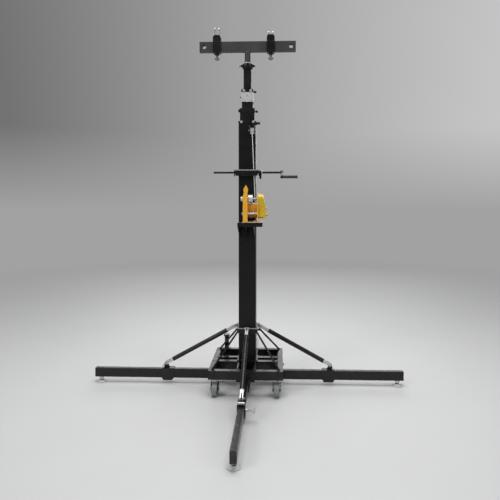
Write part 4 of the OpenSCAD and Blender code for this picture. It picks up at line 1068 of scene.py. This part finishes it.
def makeStage(look):
    n = 96
    a = np.linspace(0, 2 * math.pi, n, endpoint=False)
    pts, faces = gridShape(np.array([np.stack([r * np.cos(a), r * np.sin(a), np.full(n, 0.0)], 1)
                                     for r in (0.001, 3.0, look["floorSize"])]))
    mesh = bpy.data.meshes.new("floor")
    mesh.from_pydata(pts.tolist(), [], faces + [list(range(n))[::-1]])
    floor = bpy.data.objects.new("floor", mesh)
    bpy.context.scene.collection.objects.link(floor)
    mat, shader = newMaterial("floorPaint", look["floor"], 0, 0.55)
    length = addNode(mat, "ShaderNodeVectorMath", operation="LENGTH")
    link(mat, objectPoint(mat), length.inputs[0])
    fade = spread(mat, length.outputs["Value"], look["near"], look["far"], 0, 1)
    link(mat, mixColor(mat, spread(mat, noise(mat, 3, 4), 0.3, 0.7, 0, 0.06), look["floor"],
                       (0.44, 0.44, 0.44)),
         shader.inputs["Base Color"])
    glow = addNode(mat, "ShaderNodeEmission", Strength=1.0)
    glow.inputs["Color"].default_value = (*look["back"], 1)
    blend = addNode(mat, "ShaderNodeMixShader")
    link(mat, fade, blend.inputs[0])
    link(mat, shader.outputs[0], blend.inputs[1])
    link(mat, glow.outputs[0], blend.inputs[2])
    link(mat, blend.outputs[0], mat.node_tree.nodes["Material Output"].inputs["Surface"])
    mesh.materials.append(mat)


def makeWorld(look):
    world = bpy.data.worlds.new("world")
    bpy.context.scene.world = world
    world.use_nodes = True
    tree = world.node_tree
    sky = tree.nodes["Background"]
    sky.inputs["Color"].default_value = (0.8, 0.82, 0.85, 1)
    sky.inputs["Strength"].default_value = 0.24
    seen = tree.nodes.new("ShaderNodeBackground")
    point = tree.nodes.new("ShaderNodeTexCoord")
    split = tree.nodes.new("ShaderNodeSeparateXYZ")
    tree.links.new(point.outputs["Generated"], split.inputs[0])
    # the backdrop seen by the camera carries painted light: painted shade darkens it towards the left and painted
    # light brightens it towards the right, above the horizon
    up = spread(world, split.outputs["Z"], -0.02, 0.14, 0, 1)
    color = mixColor(world, times(world, spread(world, split.outputs["X"], -0.08, -0.5, 0, 1), up),
                     look["back"], look["left"])
    color = mixColor(world, times(world, spread(world, split.outputs["X"], -0.05, 0.42, 0, 1), up), color,
                     look["right"])
    tree.links.new(color, seen.inputs["Color"])
    path = tree.nodes.new("ShaderNodeLightPath")
    mix = tree.nodes.new("ShaderNodeMixShader")
    tree.links.new(path.outputs["Is Camera Ray"], mix.inputs[0])
    tree.links.new(sky.outputs[0], mix.inputs[1])
    tree.links.new(seen.outputs[0], mix.inputs[2])
    tree.links.new(mix.outputs[0], tree.nodes["World Output"].inputs["Surface"])


lampLook = {
    "top": {"at": (0.2, -0.1, 4.8), "to": (0.1, -0.1, 0.6), "size": (3.4, 3.4), "power": 190},
    "key": {"at": (-3.2, -3.4, 3.2), "to": (0, 0, 1.2), "size": (1.6, 1.8), "power": 70},
    "fill": {"at": (3.6, -2.6, 2.2), "to": (0, 0, 1.1), "size": (1.8, 2.2), "power": 40},
    "back": {"at": (0, 4.6, 2.3), "to": (0, 0, 0.6), "size": (5.5, 2.2), "power": 60},
}


def makeLamp(name, look):
    data = bpy.data.lights.new(name, "AREA")
    data.shape, data.energy = "RECTANGLE", look["power"]
    data.size, data.size_y = look["size"]
    lamp = bpy.data.objects.new(name, data)
    lamp.location = look["at"]
    lamp.rotation_euler = (Vector(look["to"]) - Vector(look["at"])).to_track_quat("-Z", "Y").to_euler()
    lamp.visible_camera = False
    bpy.context.scene.collection.objects.link(lamp)


makeStage(stageLook)
makeWorld(stageLook)
for name, look in lampLook.items():
    makeLamp(name, look)
bpy.context.scene.view_settings.view_transform = "Standard"

print("stage done")
